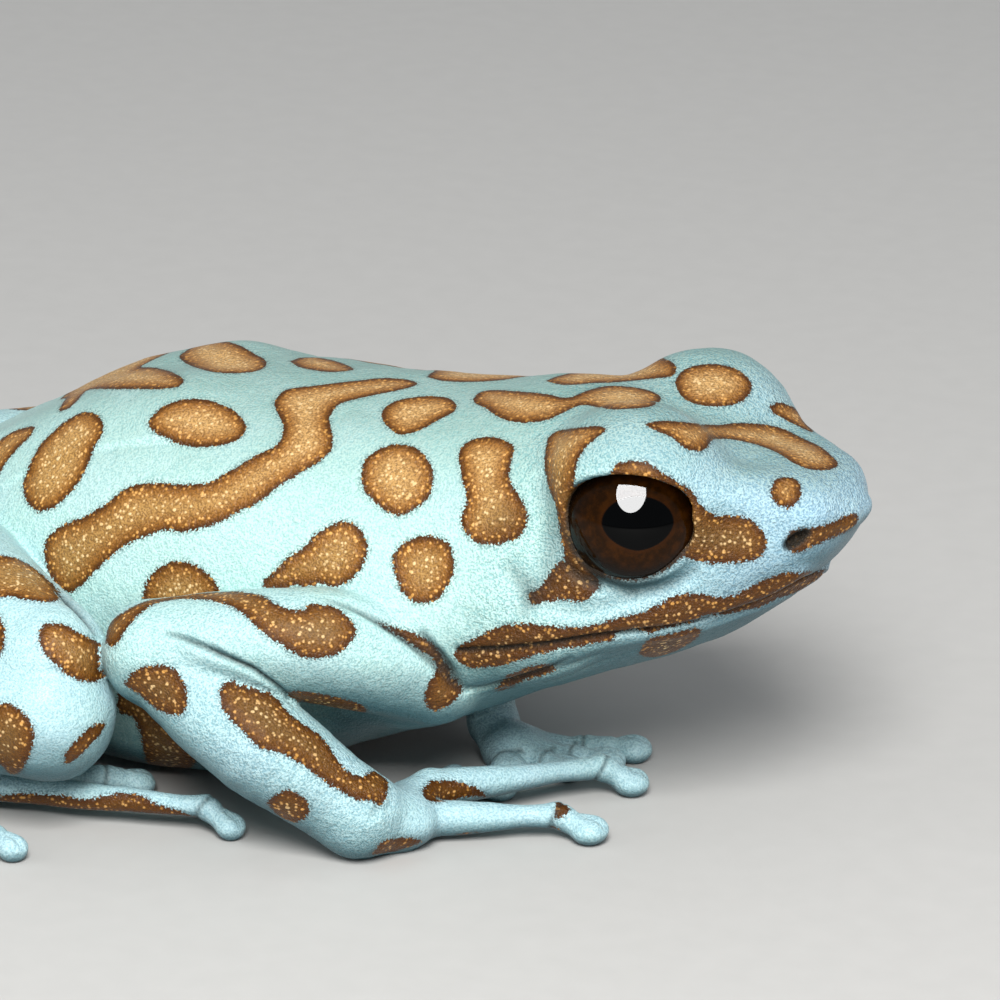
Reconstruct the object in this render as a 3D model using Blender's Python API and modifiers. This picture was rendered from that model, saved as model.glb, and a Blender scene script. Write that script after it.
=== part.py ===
"""A green and black poison dart frog, sitting, as a life-size still model.

The frog looks along +X, its left side is +Y, and the floor is at Z = 0.
Sizes are in millimetres and are turned into metres by MM.
"""
import math

import bmesh
import bpy
import numpy as np
from mathutils import Euler, Vector

MM = 0.001
GAP = 0.3                 # space kept between two nodes
SHIFT = (1.05, 0.0, 0.0)  # moves the frog so that its box is centred on the origin

BODY_VOXEL = 0.26         # cell of the remesh that fuses the body's pieces
LIMB_VOXEL = 0.22
DIGIT_VOXEL = 0.15
TUBE_RESOLUTION = 4       # points in a quarter of a tube's round
END_SIDES = 16            # of the ball at a tube's end

# Sections of the trunk and head, from the vent to the tip of the snout.
# Each row: x, half width, height of the back, height of the widest level,
# height of the belly or throat, squareness of the upper and of the lower half.
SECTIONS = (
    (-18.6, 0.7, 5.7, 5.0, 4.3, 2.0, 2.0),
    (-17.4, 2.5, 7.0, 4.7, 2.9, 2.0, 2.0),
    (-14.5, 4.3, 8.2, 4.7, 1.5, 2.0, 2.2),
    (-11.0, 5.7, 10.4, 4.9, 0.5, 2.0, 2.8),
    (-7.8, 6.6, 12.2, 5.1, 0.05, 2.05, 3.5),
    (-5.2, 7.0, 12.85, 5.3, -0.05, 2.1, 3.8),
    (-1.5, 7.1, 13.3, 5.6, 0.2, 2.1, 3.6),
    (2.5, 6.7, 13.45, 6.0, 1.5, 2.1, 2.6),
    (6.0, 6.1, 13.75, 6.8, 2.7, 2.15, 2.0),
    (8.5, 5.9, 14.15, 7.4, 3.9, 2.25, 2.0),
    (11.0, 5.5, 14.1, 8.1, 5.0, 2.35, 2.0),
    (13.3, 4.8, 13.55, 8.8, 6.0, 2.4, 2.0),
    (15.3, 3.9, 13.0, 9.5, 7.15, 2.4, 2.0),
    (16.9, 3.0, 12.8, 10.2, 8.4, 2.3, 2.0),
    (18.0, 2.15, 12.4, 10.9, 9.65, 2.2, 2.0),
    (18.6, 1.35, 12.0, 11.1, 10.35, 2.0, 2.0),
)
RING_POINTS = 48
RINGS = 90

EYE_CENTRE = (12.2, 3.5, 11.3)    # of the left eye, the right one is mirrored
EYE_RADIUS = 2.35
LID_CENTRE = (12.1, 3.0, 12.05)
LID_RADII = (3.05, 2.85, 2.75)
OPENING_CENTRE = (12.66, 5.7, 12.0)   # between the lids
OPENING_RADII = (2.11, 3.0, 1.27)
OPENING_LEAN = math.radians(2.5)   # how far the front of the opening is lifted
SOCKET_SIDES = 40
EYE_SIDES = 20

CHEEK_CENTRE = (8.4, 4.5, 7.4)
CHEEK_RADII = (2.4, 1.5, 1.9)
CHEST_CENTRE = (4.6, 4.4, 6.2)     # where the upper arm grows out of the body
CHEST_RADII = (3.0, 2.2, 2.9)
BROW_RIDGE = ((14.6, 2.9, 12.2), (17.1, 1.5, 11.7))
BROW_RIDGE_RADII = (0.95, 0.7)
HIP_RIDGE = ((-4.5, 2.0, 11.5), (-16.0, 1.5, 6.4))
HIP_RIDGE_RADII = (1.0, 0.9)

# The mouth's line, x and z, from its corner to the front.
MOUTH = ((7.2, 6.75), (10.4, 7.45), (12.2, 7.8), (14.7, 8.2), (16.6, 8.8), (17.3, 9.2))
MOUTH_STEPS = 14
MOUTH_FRONT = (0.3, 0.1)           # how far ahead and up the line's middle lies
MOUTH_WIRE = 0.22
MOUTH_VOXEL = 0.1
LIP_WIRE = 0.5
LIP_WIRE_IN_FRONT = 0.2
LIP_INSIDE = 0.36                  # of the lip's wire, inside the body's surface
LIP_RISE = 0.42                    # of the upper lip's middle above the mouth's line
NOSTRIL = (17.5, 10.93)            # x and z
NOSTRIL_RADIUS = 0.3
NOSTRIL_SIDES = 12

NECK_TOP = (8.3, 13.8)             # x and z where the cut behind the head starts
NECK_BOTTOM = (6.5, 3.0)

ARMS = {
    "right": {
        "shoulder": (5.6, -4.7, 5.5), "upper": (2.4, -7.4, 6.65), "elbow": (-2.3, -9.1, 6.2),
        "fore": (1.5, -9.3, 3.7), "wrist": (4.6, -8.4, 1.45), "palm": (5.4, -7.1, 0.85),
    },
    "left": {
        "shoulder": (5.6, 4.7, 5.5), "upper": (2.6, 7.4, 6.3), "elbow": (-1.2, 9.3, 5.5),
        "fore": (1.6, 6.9, 3.4), "wrist": (5.0, 1.6, 1.05), "palm": (6.0, 0.9, 0.5),
    },
}
# Root, joint and tip of each finger, from the innermost out.
FINGERS = {
    "right": (
        ((4.9, -5.6, 0.9), (4.9, -3.6, 0.75), (5.3, -2.2, 0.38)),
        ((5.3, -5.4, 0.95), (6.0, -3.4, 0.8), (6.8, -2.1, 0.38)),
        ((5.6, -5.1, 1.2), (9.8, -0.5, 1.0), (10.75, -0.05, 0.42)),
        ((6.0, -6.5, 0.75), (9.95, -4.4, 0.76), (11.1, -4.4, 0.42)),
    ),
    "left": (
        ((6.0, 0.4, 0.5), (6.2, -0.2, 0.45), (6.5, -0.55, 0.38)),
        ((6.4, 0.7, 0.5), (7.4, 0.4, 0.45), (8.2, 0.3, 0.38)),
        ((6.5, 1.0, 0.5), (8.0, 1.2, 0.45), (9.2, 1.45, 0.38)),
        ((6.4, 1.4, 0.5), (8.0, 2.2, 0.45), (9.6, 2.8, 0.38)),
    ),
}
LEGS = {
    "right": {
        "hip": (-15.0, -3.4, 6.2), "thigh": (-10.8, -7.2, 6.2), "knee": (-5.9, -10.0, 5.7),
        "below": (-5.65, -10.6, 4.15), "calf": (-11.6, -10.4, 4.0), "heel": (-19.0, -7.4, 2.7),
        "tarsus": (-15.2, -9.4, 1.9), "sole": (-11.2, -10.2, 0.88),
    },
    "left": {
        "hip": (-15.0, 3.4, 5.8), "thigh": (-11.2, 7.3, 5.6), "knee": (-7.1, 10.3, 5.4),
        "below": (-7.2, 11.0, 3.9), "calf": (-12.2, 10.8, 3.9), "heel": (-19.3, 7.9, 2.7),
        "tarsus": (-15.6, 10.2, 1.9), "sole": (-11.6, 10.9, 0.88),
    },
}
# Root, joint and tip of each toe, from the innermost out.
TOES = {
    "right": (
        ((-11.6, -9.3, 0.8), (-10.5, -8.2, 0.65), (-9.5, -7.6, 0.38)),
        ((-11.2, -9.5, 0.9), (-8.7, -7.9, 0.7), (-7.1, -6.8, 0.38)),
        ((-10.9, -9.8, 0.95), (-5.2, -7.5, 0.7), (-4.2, -6.7, 0.4)),
        ((-10.7, -10.6, 0.95), (-0.8, -8.7, 0.85), (0.2, -8.9, 0.42)),
        ((-11.0, -11.1, 0.85), (-6.9, -12.9, 0.75), (-5.5, -13.4, 0.4)),
    ),
    "left": (
        ((-12.0, 10.0, 0.8), (-11.0, 8.9, 0.65), (-10.0, 8.3, 0.38)),
        ((-11.6, 10.2, 0.9), (-9.1, 8.6, 0.7), (-7.5, 7.7, 0.38)),
        ((-11.3, 10.5, 0.95), (-6.3, 8.7, 0.75), (-4.0, 8.1, 0.38)),
        ((-11.1, 10.9, 0.95), (-2.3, 10.9, 0.8), (-0.5, 11.2, 0.38)),
        ((-11.4, 11.6, 0.85), (-8.2, 12.9, 0.7), (-6.1, 13.45, 0.38)),
    ),
}

SHOULDER_RADIUS = 2.0
UPPER_ARM_RADIUS = 1.9
ELBOW_RADIUS = 1.8
FOREARM_RADII = {"right": (1.6, 1.8, 1.4), "left": (1.7, 1.4, 0.75)}   # elbow, middle, wrist
WRIST_RADII = {"right": (1.4, 0.95), "left": (0.75, 0.55)}             # wrist, palm
PALM_RADII = {"right": (1.35, 1.2, 0.95), "left": (1.05, 0.95, 0.58)}
HIP_RADIUS = 2.8
THIGH_RADIUS = 2.8
KNEE_RADIUS = 2.05
BELOW_KNEE_RADIUS = 2.3
CALF_RADIUS = 2.35
HEEL_RADIUS = 1.35
TARSUS_RADIUS = 1.2
SOLE_RADIUS = 1.0
WEB_RADIUS = 0.85                  # where a digit leaves the palm or the sole
DIGIT_RADII = (0.6, 0.4, 0.44)     # at the root, before the joint, at the joint
TIP_RADIUS = 0.43                  # from the joint to the pad
PAD_SIDES = 16
FINGER_PAD = (0.65, 0.66, 0.47)
TOE_PAD = (0.54, 0.53, 0.46)

TRIANGLES = {
    "head": 3000, "trunk": 2600, "eye": 320, "upper_arm": 420, "forearm": 380,
    "hand": 950, "thigh": 420, "shank": 420, "foot": 1150,
}

ON_THE_FLOOR = ("trunk", "hand", "foot")   # these get small flats at Z = 0
FLOOR_SIZE = 80.0


def clear_scene():
    """Removes whatever the scene holds."""
    for item in list(bpy.data.objects):
        bpy.data.objects.remove(item)


def collection(name):
    """A new collection in the scene."""
    made = bpy.data.collections.new(name)
    bpy.context.scene.collection.children.link(made)
    return made


def material(name, colour, roughness):
    """A Principled material with one colour."""
    made = bpy.data.materials.new(name)
    made.use_nodes = True
    shader = made.node_tree.nodes["Principled BSDF"]
    shader.inputs["Base Color"].default_value = (*colour, 1.0)
    shader.inputs["Roughness"].default_value = roughness
    shader.inputs["Metallic"].default_value = 0.0
    made.diffuse_color = (*colour, 1.0)
    return made


def add_object(name, mesh, into):
    """An object for a mesh, linked into a collection."""
    item = bpy.data.objects.new(name, mesh)
    into.objects.link(item)
    return item


def smooth_path(points, steps=8):
    """Points along a smooth curve through the given ones."""
    knots = [np.array(p, float) for p in points]
    knots = [2 * knots[0] - knots[1]] + knots + [2 * knots[-1] - knots[-2]]
    path = []
    for a, b, c, d in zip(knots, knots[1:], knots[2:], knots[3:]):
        for step in range(steps):
            t = step / steps
            path.append(0.5 * (2 * b + (c - a) * t + (2 * a - 5 * b + 4 * c - d) * t ** 2
                               + (3 * b - a - 3 * c + d) * t ** 3))
    path.append(knots[-2])
    return np.array(path)


def section_at(x):
    """Half width, back, widest level, belly and both squarenesses at a place."""
    rows = np.array(SECTIONS)
    slopes = np.gradient(rows[:, 1:], rows[:, 0], axis=0)
    i = int(np.clip(np.searchsorted(rows[:, 0], x) - 1, 0, len(rows) - 2))
    span = rows[i + 1, 0] - rows[i, 0]
    t = (x - rows[i, 0]) / span
    start = 2 * t ** 3 - 3 * t ** 2 + 1
    leave = t ** 3 - 2 * t ** 2 + t
    arrive = t ** 3 - t ** 2
    return (start * rows[i, 1:] + (1 - start) * rows[i + 1, 1:]
            + span * (leave * slopes[i] + arrive * slopes[i + 1]))


def half_width_at(x, z):
    """Half width of the body at a height."""
    width, top, level, bottom, upper, lower = section_at(x)
    reach, power = (top - level, upper) if z > level else (level - bottom, lower)
    share = min(abs(z - level) / reach, 1.0)
    return width * (1 - share ** power) ** (1 / power)


def ball(centre, radii, into, grow=0.0, turn=(0, 0, 0), sides=24):
    """A closed ellipsoid, its radii made larger by grow."""
    mesh = bpy.data.meshes.new("ball")
    form = bmesh.new()
    bmesh.ops.create_uvsphere(form, u_segments=sides, v_segments=sides // 2, radius=1.0)
    bmesh.ops.scale(form, vec=[(r + grow) * MM for r in radii], verts=form.verts)
    bmesh.ops.rotate(form, matrix=Euler(turn).to_matrix(), verts=form.verts)
    bmesh.ops.translate(form, vec=Vector(centre) * MM, verts=form.verts)
    form.to_mesh(mesh)
    form.free()
    return add_object("ball", mesh, into)


def mesh_of_curve(curve_object, into):
    """Turns a curve object into a closed mesh object and removes the curve."""
    bpy.context.view_layer.update()
    evaluated = curve_object.evaluated_get(bpy.context.evaluated_depsgraph_get())
    mesh = bpy.data.meshes.new_from_object(evaluated)
    form = bmesh.new()
    form.from_mesh(mesh)
    bmesh.ops.remove_doubles(form, verts=form.verts, dist=1e-7)
    form.to_mesh(mesh)
    form.free()
    made = add_object("tube", mesh, into)
    made.matrix_world = curve_object.matrix_world
    bpy.data.objects.remove(curve_object)
    return made


def tube(points, radii, into, grow=0.0):
    """A tapered tube through the points, with a ball at each end."""
    path = smooth_path(points)
    wide = np.interp(np.linspace(0, 1, len(path)), np.linspace(0, 1, len(radii)), radii)
    curve = bpy.data.curves.new("tube", "CURVE")
    curve.dimensions = "3D"
    curve.bevel_depth = MM
    curve.bevel_resolution = TUBE_RESOLUTION
    curve.use_fill_caps = True
    spline = curve.splines.new("POLY")
    spline.points.add(len(path) - 1)
    for point, place, radius in zip(spline.points, path, wide):
        point.co = (*(place * MM), 1.0)
        point.radius = radius + grow
    pieces = [mesh_of_curve(add_object("tube", curve, into), into)]
    for end in (0, -1):
        pieces.append(ball(path[end], (wide[end],) * 3, into, grow, sides=END_SIDES))
    return pieces


def body_loft(into, grow=0.0):
    """The trunk and head as one skin over the sections."""
    first, last = SECTIONS[0][0] - grow, SECTIONS[-1][0] + grow
    middle, reach = (first + last) / 2, (last - first) / 2
    form = bmesh.new()
    rings = []
    for ring in range(RINGS + 1):
        x = middle - reach * math.cos(math.pi * ring / RINGS)
        inside = min(max(x, SECTIONS[0][0]), SECTIONS[-1][0])
        width, top, level, bottom, upper, lower = section_at(inside)
        verts = []
        for step in range(RING_POINTS):
            angle = 2 * math.pi * step / RING_POINTS
            c, s = math.cos(angle), math.sin(angle)
            power = 2 / (upper if s > 0 else lower)
            y = (width + grow) * math.copysign(abs(c) ** power, c)
            rise = (top - level if s > 0 else level - bottom) + grow
            z = level + rise * math.copysign(abs(s) ** power, s)
            verts.append(form.verts.new(Vector((x, y, z)) * MM))
        rings.append(verts)
    for one, two in zip(rings, rings[1:]):
        for step in range(RING_POINTS):
            after = (step + 1) % RING_POINTS
            form.faces.new((one[step], one[after], two[after], two[step]))
    form.faces.new(rings[0][::-1])
    form.faces.new(rings[-1])
    bmesh.ops.recalc_face_normals(form, faces=form.faces)
    mesh = bpy.data.meshes.new("body")
    form.to_mesh(mesh)
    form.free()
    return add_object("body", mesh, into)


def fuse(name, pieces, voxel, rounds, into):
    """One closed surface over overlapping pieces, with its steps smoothed away."""
    form = bmesh.new()
    for piece in pieces:
        form.from_mesh(piece.data)
    mesh = bpy.data.meshes.new(name)
    form.to_mesh(mesh)
    form.free()
    for piece in pieces:
        bpy.data.objects.remove(piece)
    made = add_object(name, mesh, into)
    remesh = made.modifiers.new("fuse", "REMESH")
    remesh.mode = "VOXEL"
    remesh.voxel_size = voxel * MM
    soften = made.modifiers.new("soften", "SMOOTH")
    soften.factor = 0.5
    soften.iterations = rounds
    apply_modifiers(made)
    return made


def apply_modifiers(item):
    """Makes the modified shape the object's own mesh."""
    bpy.context.view_layer.update()
    evaluated = item.evaluated_get(bpy.context.evaluated_depsgraph_get())
    mesh = bpy.data.meshes.new_from_object(evaluated)
    item.modifiers.clear()
    item.data = mesh


def carve(item, cutter):
    """Takes a closed cutter away from an object."""
    cut = item.modifiers.new("cut", "BOOLEAN")
    cut.operation = "DIFFERENCE"
    cut.solver = "MANIFOLD"
    cut.object = cutter
    apply_modifiers(item)


def keep_largest(item):
    """Keeps the largest closed surface of an object."""
    form = bmesh.new()
    form.from_mesh(item.data)
    left = set(form.verts)
    groups = []
    while left:
        group = {left.pop()}
        edge_of_group = list(group)
        while edge_of_group:
            vert = edge_of_group.pop()
            for edge in vert.link_edges:
                other = edge.other_vert(vert)
                if other in left:
                    left.remove(other)
                    group.add(other)
                    edge_of_group.append(other)
        groups.append(group)
    groups.sort(key=len)
    scraps = [vert for group in groups[:-1] for vert in group]
    bmesh.ops.delete(form, geom=scraps, context="VERTS")
    form.to_mesh(item.data)
    form.free()


def thin_out(item, triangles):
    """Brings an object down to about a number of triangles."""
    form = bmesh.new()
    form.from_mesh(item.data)
    bmesh.ops.triangulate(form, faces=form.faces)
    count = len(form.faces)
    form.to_mesh(item.data)
    form.free()
    if count > triangles:
        fewer = item.modifiers.new("fewer", "DECIMATE")
        fewer.ratio = triangles / count
        apply_modifiers(item)


def mirrored(point, side):
    """A point on the right or left side, given for the left."""
    return (point[0], point[1] if side == "left" else -point[1], point[2])


def mouth_path(inward, rise):
    """The mouth's line, from the right corner round the snout to the left one."""
    places = np.array(MOUTH)
    side = []
    for x in np.linspace(places[0, 0], places[-1, 0], MOUTH_STEPS):
        z = np.interp(x, places[:, 0], places[:, 1]) + rise
        side.append((x, half_width_at(x, z) - inward, z))
    ahead, up = MOUTH_FRONT
    front = (places[-1, 0] + ahead - inward, 0.0, places[-1, 1] + up + rise)
    right = [(x, -y, z) for x, y, z in side]
    return right + [front] + side[::-1]


def body_pieces(into, grow=0.0):
    """What the trunk and head are fused from."""
    pieces = [body_loft(into, grow)]
    for side in ("right", "left"):
        for centre, radii in ((LID_CENTRE, LID_RADII), (CHEEK_CENTRE, CHEEK_RADII),
                              (CHEST_CENTRE, CHEST_RADII)):
            pieces.append(ball(mirrored(centre, side), radii, into, grow))
        for ridge, radii in ((BROW_RIDGE, BROW_RIDGE_RADII), (HIP_RIDGE, HIP_RIDGE_RADII)):
            pieces += tube([mirrored(point, side) for point in ridge], radii, into, grow)
    if grow == 0.0:
        lip = (LIP_WIRE, LIP_WIRE, LIP_WIRE_IN_FRONT, LIP_WIRE, LIP_WIRE)
        pieces += tube(mouth_path(LIP_INSIDE, LIP_RISE), lip, into)
    return pieces


def upper_arm_pieces(side, into, grow=0.0):
    """The upper arm, from the chest to the elbow."""
    joints = ARMS[side]
    return tube([joints["shoulder"], joints["upper"], joints["elbow"]],
                (SHOULDER_RADIUS, UPPER_ARM_RADIUS, ELBOW_RADIUS), into, grow)


def forearm_pieces(side, into, grow=0.0):
    """The forearm, from the elbow to the wrist."""
    joints = ARMS[side]
    return tube([joints["elbow"], joints["fore"], joints["wrist"]],
                FOREARM_RADII[side], into, grow)


def digit_pieces(points, pad, into):
    """One finger or toe, thicker at its joint, with a small pad at the tip."""
    root, joint, tip = [np.array(p, float) for p in points]
    before = joint + (root - joint) * 0.25
    pieces = tube([root, before, joint], DIGIT_RADII, into)
    pieces += tube([joint, tip], (TIP_RADIUS, TIP_RADIUS), into)
    heading = math.atan2(tip[1] - joint[1], tip[0] - joint[0])
    pieces.append(ball(tip, pad, into, turn=(0, 0, heading), sides=PAD_SIDES))
    return pieces


def hand_pieces(side, into):
    """The wrist, the palm and four fingers."""
    joints = ARMS[side]
    pieces = tube([joints["wrist"], joints["palm"]], WRIST_RADII[side], into)
    pieces.append(ball(joints["palm"], PALM_RADII[side], into))
    for finger in FINGERS[side]:
        pieces += tube([joints["palm"], finger[0]], (WEB_RADIUS, DIGIT_RADII[0]), into)
        pieces += digit_pieces(finger, FINGER_PAD, into)
    return pieces


def thigh_pieces(side, into, grow=0.0):
    """The thigh, from the hip to the knee."""
    joints = LEGS[side]
    return tube([joints["hip"], joints["thigh"], joints["knee"]],
                (HIP_RADIUS, THIGH_RADIUS, KNEE_RADIUS), into, grow)


def shank_pieces(side, into, grow=0.0):
    """The shank, from the knee back to the heel."""
    joints = LEGS[side]
    return tube([joints["below"], joints["calf"], joints["heel"]],
                (BELOW_KNEE_RADIUS, CALF_RADIUS, HEEL_RADIUS), into, grow)


def foot_pieces(side, into):
    """The long ankle, the sole and five toes."""
    joints = LEGS[side]
    pieces = tube([joints["heel"], joints["tarsus"], joints["sole"]],
                  (HEEL_RADIUS, TARSUS_RADIUS, SOLE_RADIUS), into)
    for toe in TOES[side]:
        pieces += tube([joints["sole"], toe[0]], (WEB_RADIUS, DIGIT_RADII[0]), into)
        pieces += digit_pieces(toe, TOE_PAD, into)
    return pieces


def box(name, low, high, into):
    """A box between two corners."""
    mesh = bpy.data.meshes.new(name)
    form = bmesh.new()
    bmesh.ops.create_cube(form, size=1.0)
    size = Vector(high) - Vector(low)
    bmesh.ops.scale(form, vec=size * MM, verts=form.verts)
    bmesh.ops.translate(form, vec=(Vector(high) + Vector(low)) / 2 * MM, verts=form.verts)
    form.to_mesh(mesh)
    form.free()
    return add_object(name, mesh, into)


def neck_block(before, into):
    """A block that covers all in front of the neck's cut, or all behind it."""
    (top_x, top_z), (low_x, low_z) = NECK_TOP, NECK_BOTTOM
    lean = math.atan2(top_x - low_x, top_z - low_z)
    near, far = GAP / 2, FLOOR_SIZE
    ends = (-far, near) if before else (-near, far)
    block = box("neck_block", (ends[0], -far / 2, -far / 2), (ends[1], far / 2, far / 2), into)
    middle = Vector(((top_x + low_x) / 2, 0, (top_z + low_z) / 2)) * MM
    block.data.transform(Euler((0, lean, 0)).to_matrix().to_4x4())
    for vert in block.data.vertices:
        vert.co += middle
    return block


def remove(*items):
    """Deletes helper objects."""
    for item in items:
        bpy.data.objects.remove(item)


def build():
    """Makes the sixteen nodes of the frog."""
    clear_scene()
    frog = collection("poison_dart_frog")
    tools = collection("cutters")
    skin = material("frog_skin", (0.27, 0.60, 0.64), 0.35)
    eye_skin = material("frog_eye", (0.03, 0.015, 0.008), 0.08)
    floor = box("floor", (-FLOOR_SIZE / 2, -FLOOR_SIZE / 2, -FLOOR_SIZE / 2),
                (FLOOR_SIZE / 2, FLOOR_SIZE / 2, 0), tools)

    body = fuse("body", body_pieces(tools), BODY_VOXEL, 5, tools)
    for side in ("right", "left"):
        socket = ball(mirrored(EYE_CENTRE, side), (EYE_RADIUS + GAP,) * 3, tools,
                      sides=SOCKET_SIDES)
        opening = ball(mirrored(OPENING_CENTRE, side), OPENING_RADII, tools,
                       turn=(0, -OPENING_LEAN, 0), sides=SOCKET_SIDES)
        x, z = NOSTRIL
        nostril = ball(mirrored((x, half_width_at(x, z), z), side), (NOSTRIL_RADIUS,) * 3,
                       tools, sides=NOSTRIL_SIDES)
        for cutter in (socket, opening, nostril):
            carve(body, cutter)
        remove(socket, opening, nostril)
    mouth = fuse("mouth", tube(mouth_path(0.0, 0.0), (MOUTH_WIRE, MOUTH_WIRE), tools),
                 MOUTH_VOXEL, 2, tools)
    carve(body, mouth)
    remove(mouth)

    nodes = {}
    for name, before in (("trunk", False), ("head", True)):
        half = add_object(name, body.data.copy(), frog)
        block = neck_block(before, tools)
        carve(half, block)
        remove(block)
        nodes[name] = half
    remove(body)

    around_body = fuse("around_body", body_pieces(tools, GAP), BODY_VOXEL, 5, tools)
    for side in ("right", "left"):
        upper_arm = fuse("upper_arm_" + side, upper_arm_pieces(side, tools),
                         LIMB_VOXEL, 4, frog)
        around_upper = fuse("around", upper_arm_pieces(side, tools, GAP), LIMB_VOXEL, 4, tools)
        forearm = fuse("forearm_" + side, forearm_pieces(side, tools), LIMB_VOXEL, 4, frog)
        around_fore = fuse("around", forearm_pieces(side, tools, GAP), LIMB_VOXEL, 4, tools)
        hand = fuse("hand_" + side, hand_pieces(side, tools), DIGIT_VOXEL, 3, frog)
        thigh = fuse("thigh_" + side, thigh_pieces(side, tools), LIMB_VOXEL, 4, frog)
        around_thigh = fuse("around", thigh_pieces(side, tools, GAP), LIMB_VOXEL, 4, tools)
        shank = fuse("shank_" + side, shank_pieces(side, tools), LIMB_VOXEL, 4, frog)
        around_shank = fuse("around", shank_pieces(side, tools, GAP), LIMB_VOXEL, 4, tools)
        foot = fuse("foot_" + side, foot_pieces(side, tools), DIGIT_VOXEL, 3, frog)
        cuts = (
            (upper_arm, (around_body,)),
            (forearm, (around_body, around_upper)),
            (hand, (around_fore,)),
            (thigh, (around_body, around_upper)),
            (shank, (around_body, around_upper, around_thigh)),
            (foot, (around_body, around_thigh, around_shank)),
        )
        for item, cutters in cuts:
            for cutter in cutters:
                carve(item, cutter)
            nodes[item.name] = item
        remove(around_upper, around_fore, around_thigh, around_shank)
        eye = ball(mirrored(EYE_CENTRE, side), (EYE_RADIUS,) * 3, frog, sides=EYE_SIDES)
        eye.name = "eye_" + side
        nodes[eye.name] = eye
    remove(around_body)

    for name, item in nodes.items():
        keep_largest(item)
        kind = name.rsplit("_", 1)[0] if name not in TRIANGLES else name
        thin_out(item, TRIANGLES[kind])
        if kind in ON_THE_FLOOR:
            carve(item, floor)
        item.data.materials.clear()
        item.data.materials.append(eye_skin if kind == "eye" else skin)
        item.data.shade_smooth()
        for vert in item.data.vertices:
            vert.co += Vector(SHIFT) * MM
    remove(floor)


build()
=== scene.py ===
# %% [markdown]
# # A spotted poison dart frog
# This frog sits on folded legs with its chest up, and it is only 39 mm long. The packed
# model gives the frame: every node sits where its limb sits. The looks are one skin over all
# of those nodes, two wet eyes, a pale table and studio light.

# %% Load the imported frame
import math

import bpy
import numpy as np
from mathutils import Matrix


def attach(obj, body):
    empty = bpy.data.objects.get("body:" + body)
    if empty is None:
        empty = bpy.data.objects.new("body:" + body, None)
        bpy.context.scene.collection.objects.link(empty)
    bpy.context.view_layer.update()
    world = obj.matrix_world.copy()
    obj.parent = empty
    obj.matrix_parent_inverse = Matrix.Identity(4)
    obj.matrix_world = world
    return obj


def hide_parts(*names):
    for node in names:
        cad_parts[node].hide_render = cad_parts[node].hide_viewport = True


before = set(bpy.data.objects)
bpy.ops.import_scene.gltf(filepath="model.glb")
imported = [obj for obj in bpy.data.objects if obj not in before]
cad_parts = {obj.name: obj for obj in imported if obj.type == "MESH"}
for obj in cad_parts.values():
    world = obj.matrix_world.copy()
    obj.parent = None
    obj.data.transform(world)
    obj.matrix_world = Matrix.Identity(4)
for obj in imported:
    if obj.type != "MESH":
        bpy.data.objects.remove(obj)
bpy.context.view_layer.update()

import openvdb
from mathutils import Vector, noise
from mathutils.kdtree import KDTree

# %% [markdown]
# ## The camera
# A close-up of a thumb-sized animal is taken with a long lens, so that the snout doesn't
# swell. The view comes first, because the spots are placed later through the same camera.
# All sizes here are millimetres in the frog's own frame: +X is ahead, +Y is its left side.

# %% Camera
MM = 0.001
SIDES = ("right", "left")
FROG_SHIFT = np.array((1.05, 0.0, 0.0))   # puts the middle of the frog's box on the origin
PICTURE_SIDE = 1000                       # pixels
PIXELS_PER_MM = 30.5                      # at the place that the camera looks at
VIEW_AZIMUTH = math.radians(24.0)
VIEW_ELEVATION = math.radians(20.0)
VIEW_TARGET = np.array((6.8, -2.0, 10.5))
VIEW_DISTANCE = 230.0
SENSOR_WIDTH = 36.0

view_right = np.array((math.cos(VIEW_AZIMUTH), math.sin(VIEW_AZIMUTH), 0.0))
view_back = np.array((math.sin(VIEW_AZIMUTH) * math.cos(VIEW_ELEVATION),
                      -math.cos(VIEW_AZIMUTH) * math.cos(VIEW_ELEVATION),
                      math.sin(VIEW_ELEVATION)))
view_up = np.cross(view_back, view_right)
view_place = VIEW_TARGET + view_back * VIEW_DISTANCE


def picture_place(points):
    """Pixels across and down in the picture for points in millimetres."""
    away = points - view_place
    depth = -(away @ view_back)
    scale = PIXELS_PER_MM * VIEW_DISTANCE / depth
    middle = PICTURE_SIDE / 2
    return middle + scale * (away @ view_right), middle - scale * (away @ view_up)


camera_data = bpy.data.cameras.new("close_up")
camera_data.sensor_width = SENSOR_WIDTH
camera_data.lens = PIXELS_PER_MM * VIEW_DISTANCE * SENSOR_WIDTH / PICTURE_SIDE
camera_data.clip_start = 0.01
camera = bpy.data.objects.new("close_up", camera_data)
bpy.context.scene.collection.objects.link(camera)
camera.location = Vector((view_place + FROG_SHIFT) * MM)
camera.rotation_mode = "QUATERNION"
camera.rotation_quaternion = Vector(-view_back).to_track_quat("-Z", "Y")
bpy.context.scene.camera = camera
print("lens, mm:", round(camera_data.lens, 1))

# %% [markdown]
# ## The frog's sizes
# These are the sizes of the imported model: the sections of the trunk and head, the joints
# of the limbs, the fingers and the toes. Keeping the same numbers keeps the skin in the
# nodes' places, so what MuJoCo touches is what the eye sees.

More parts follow.
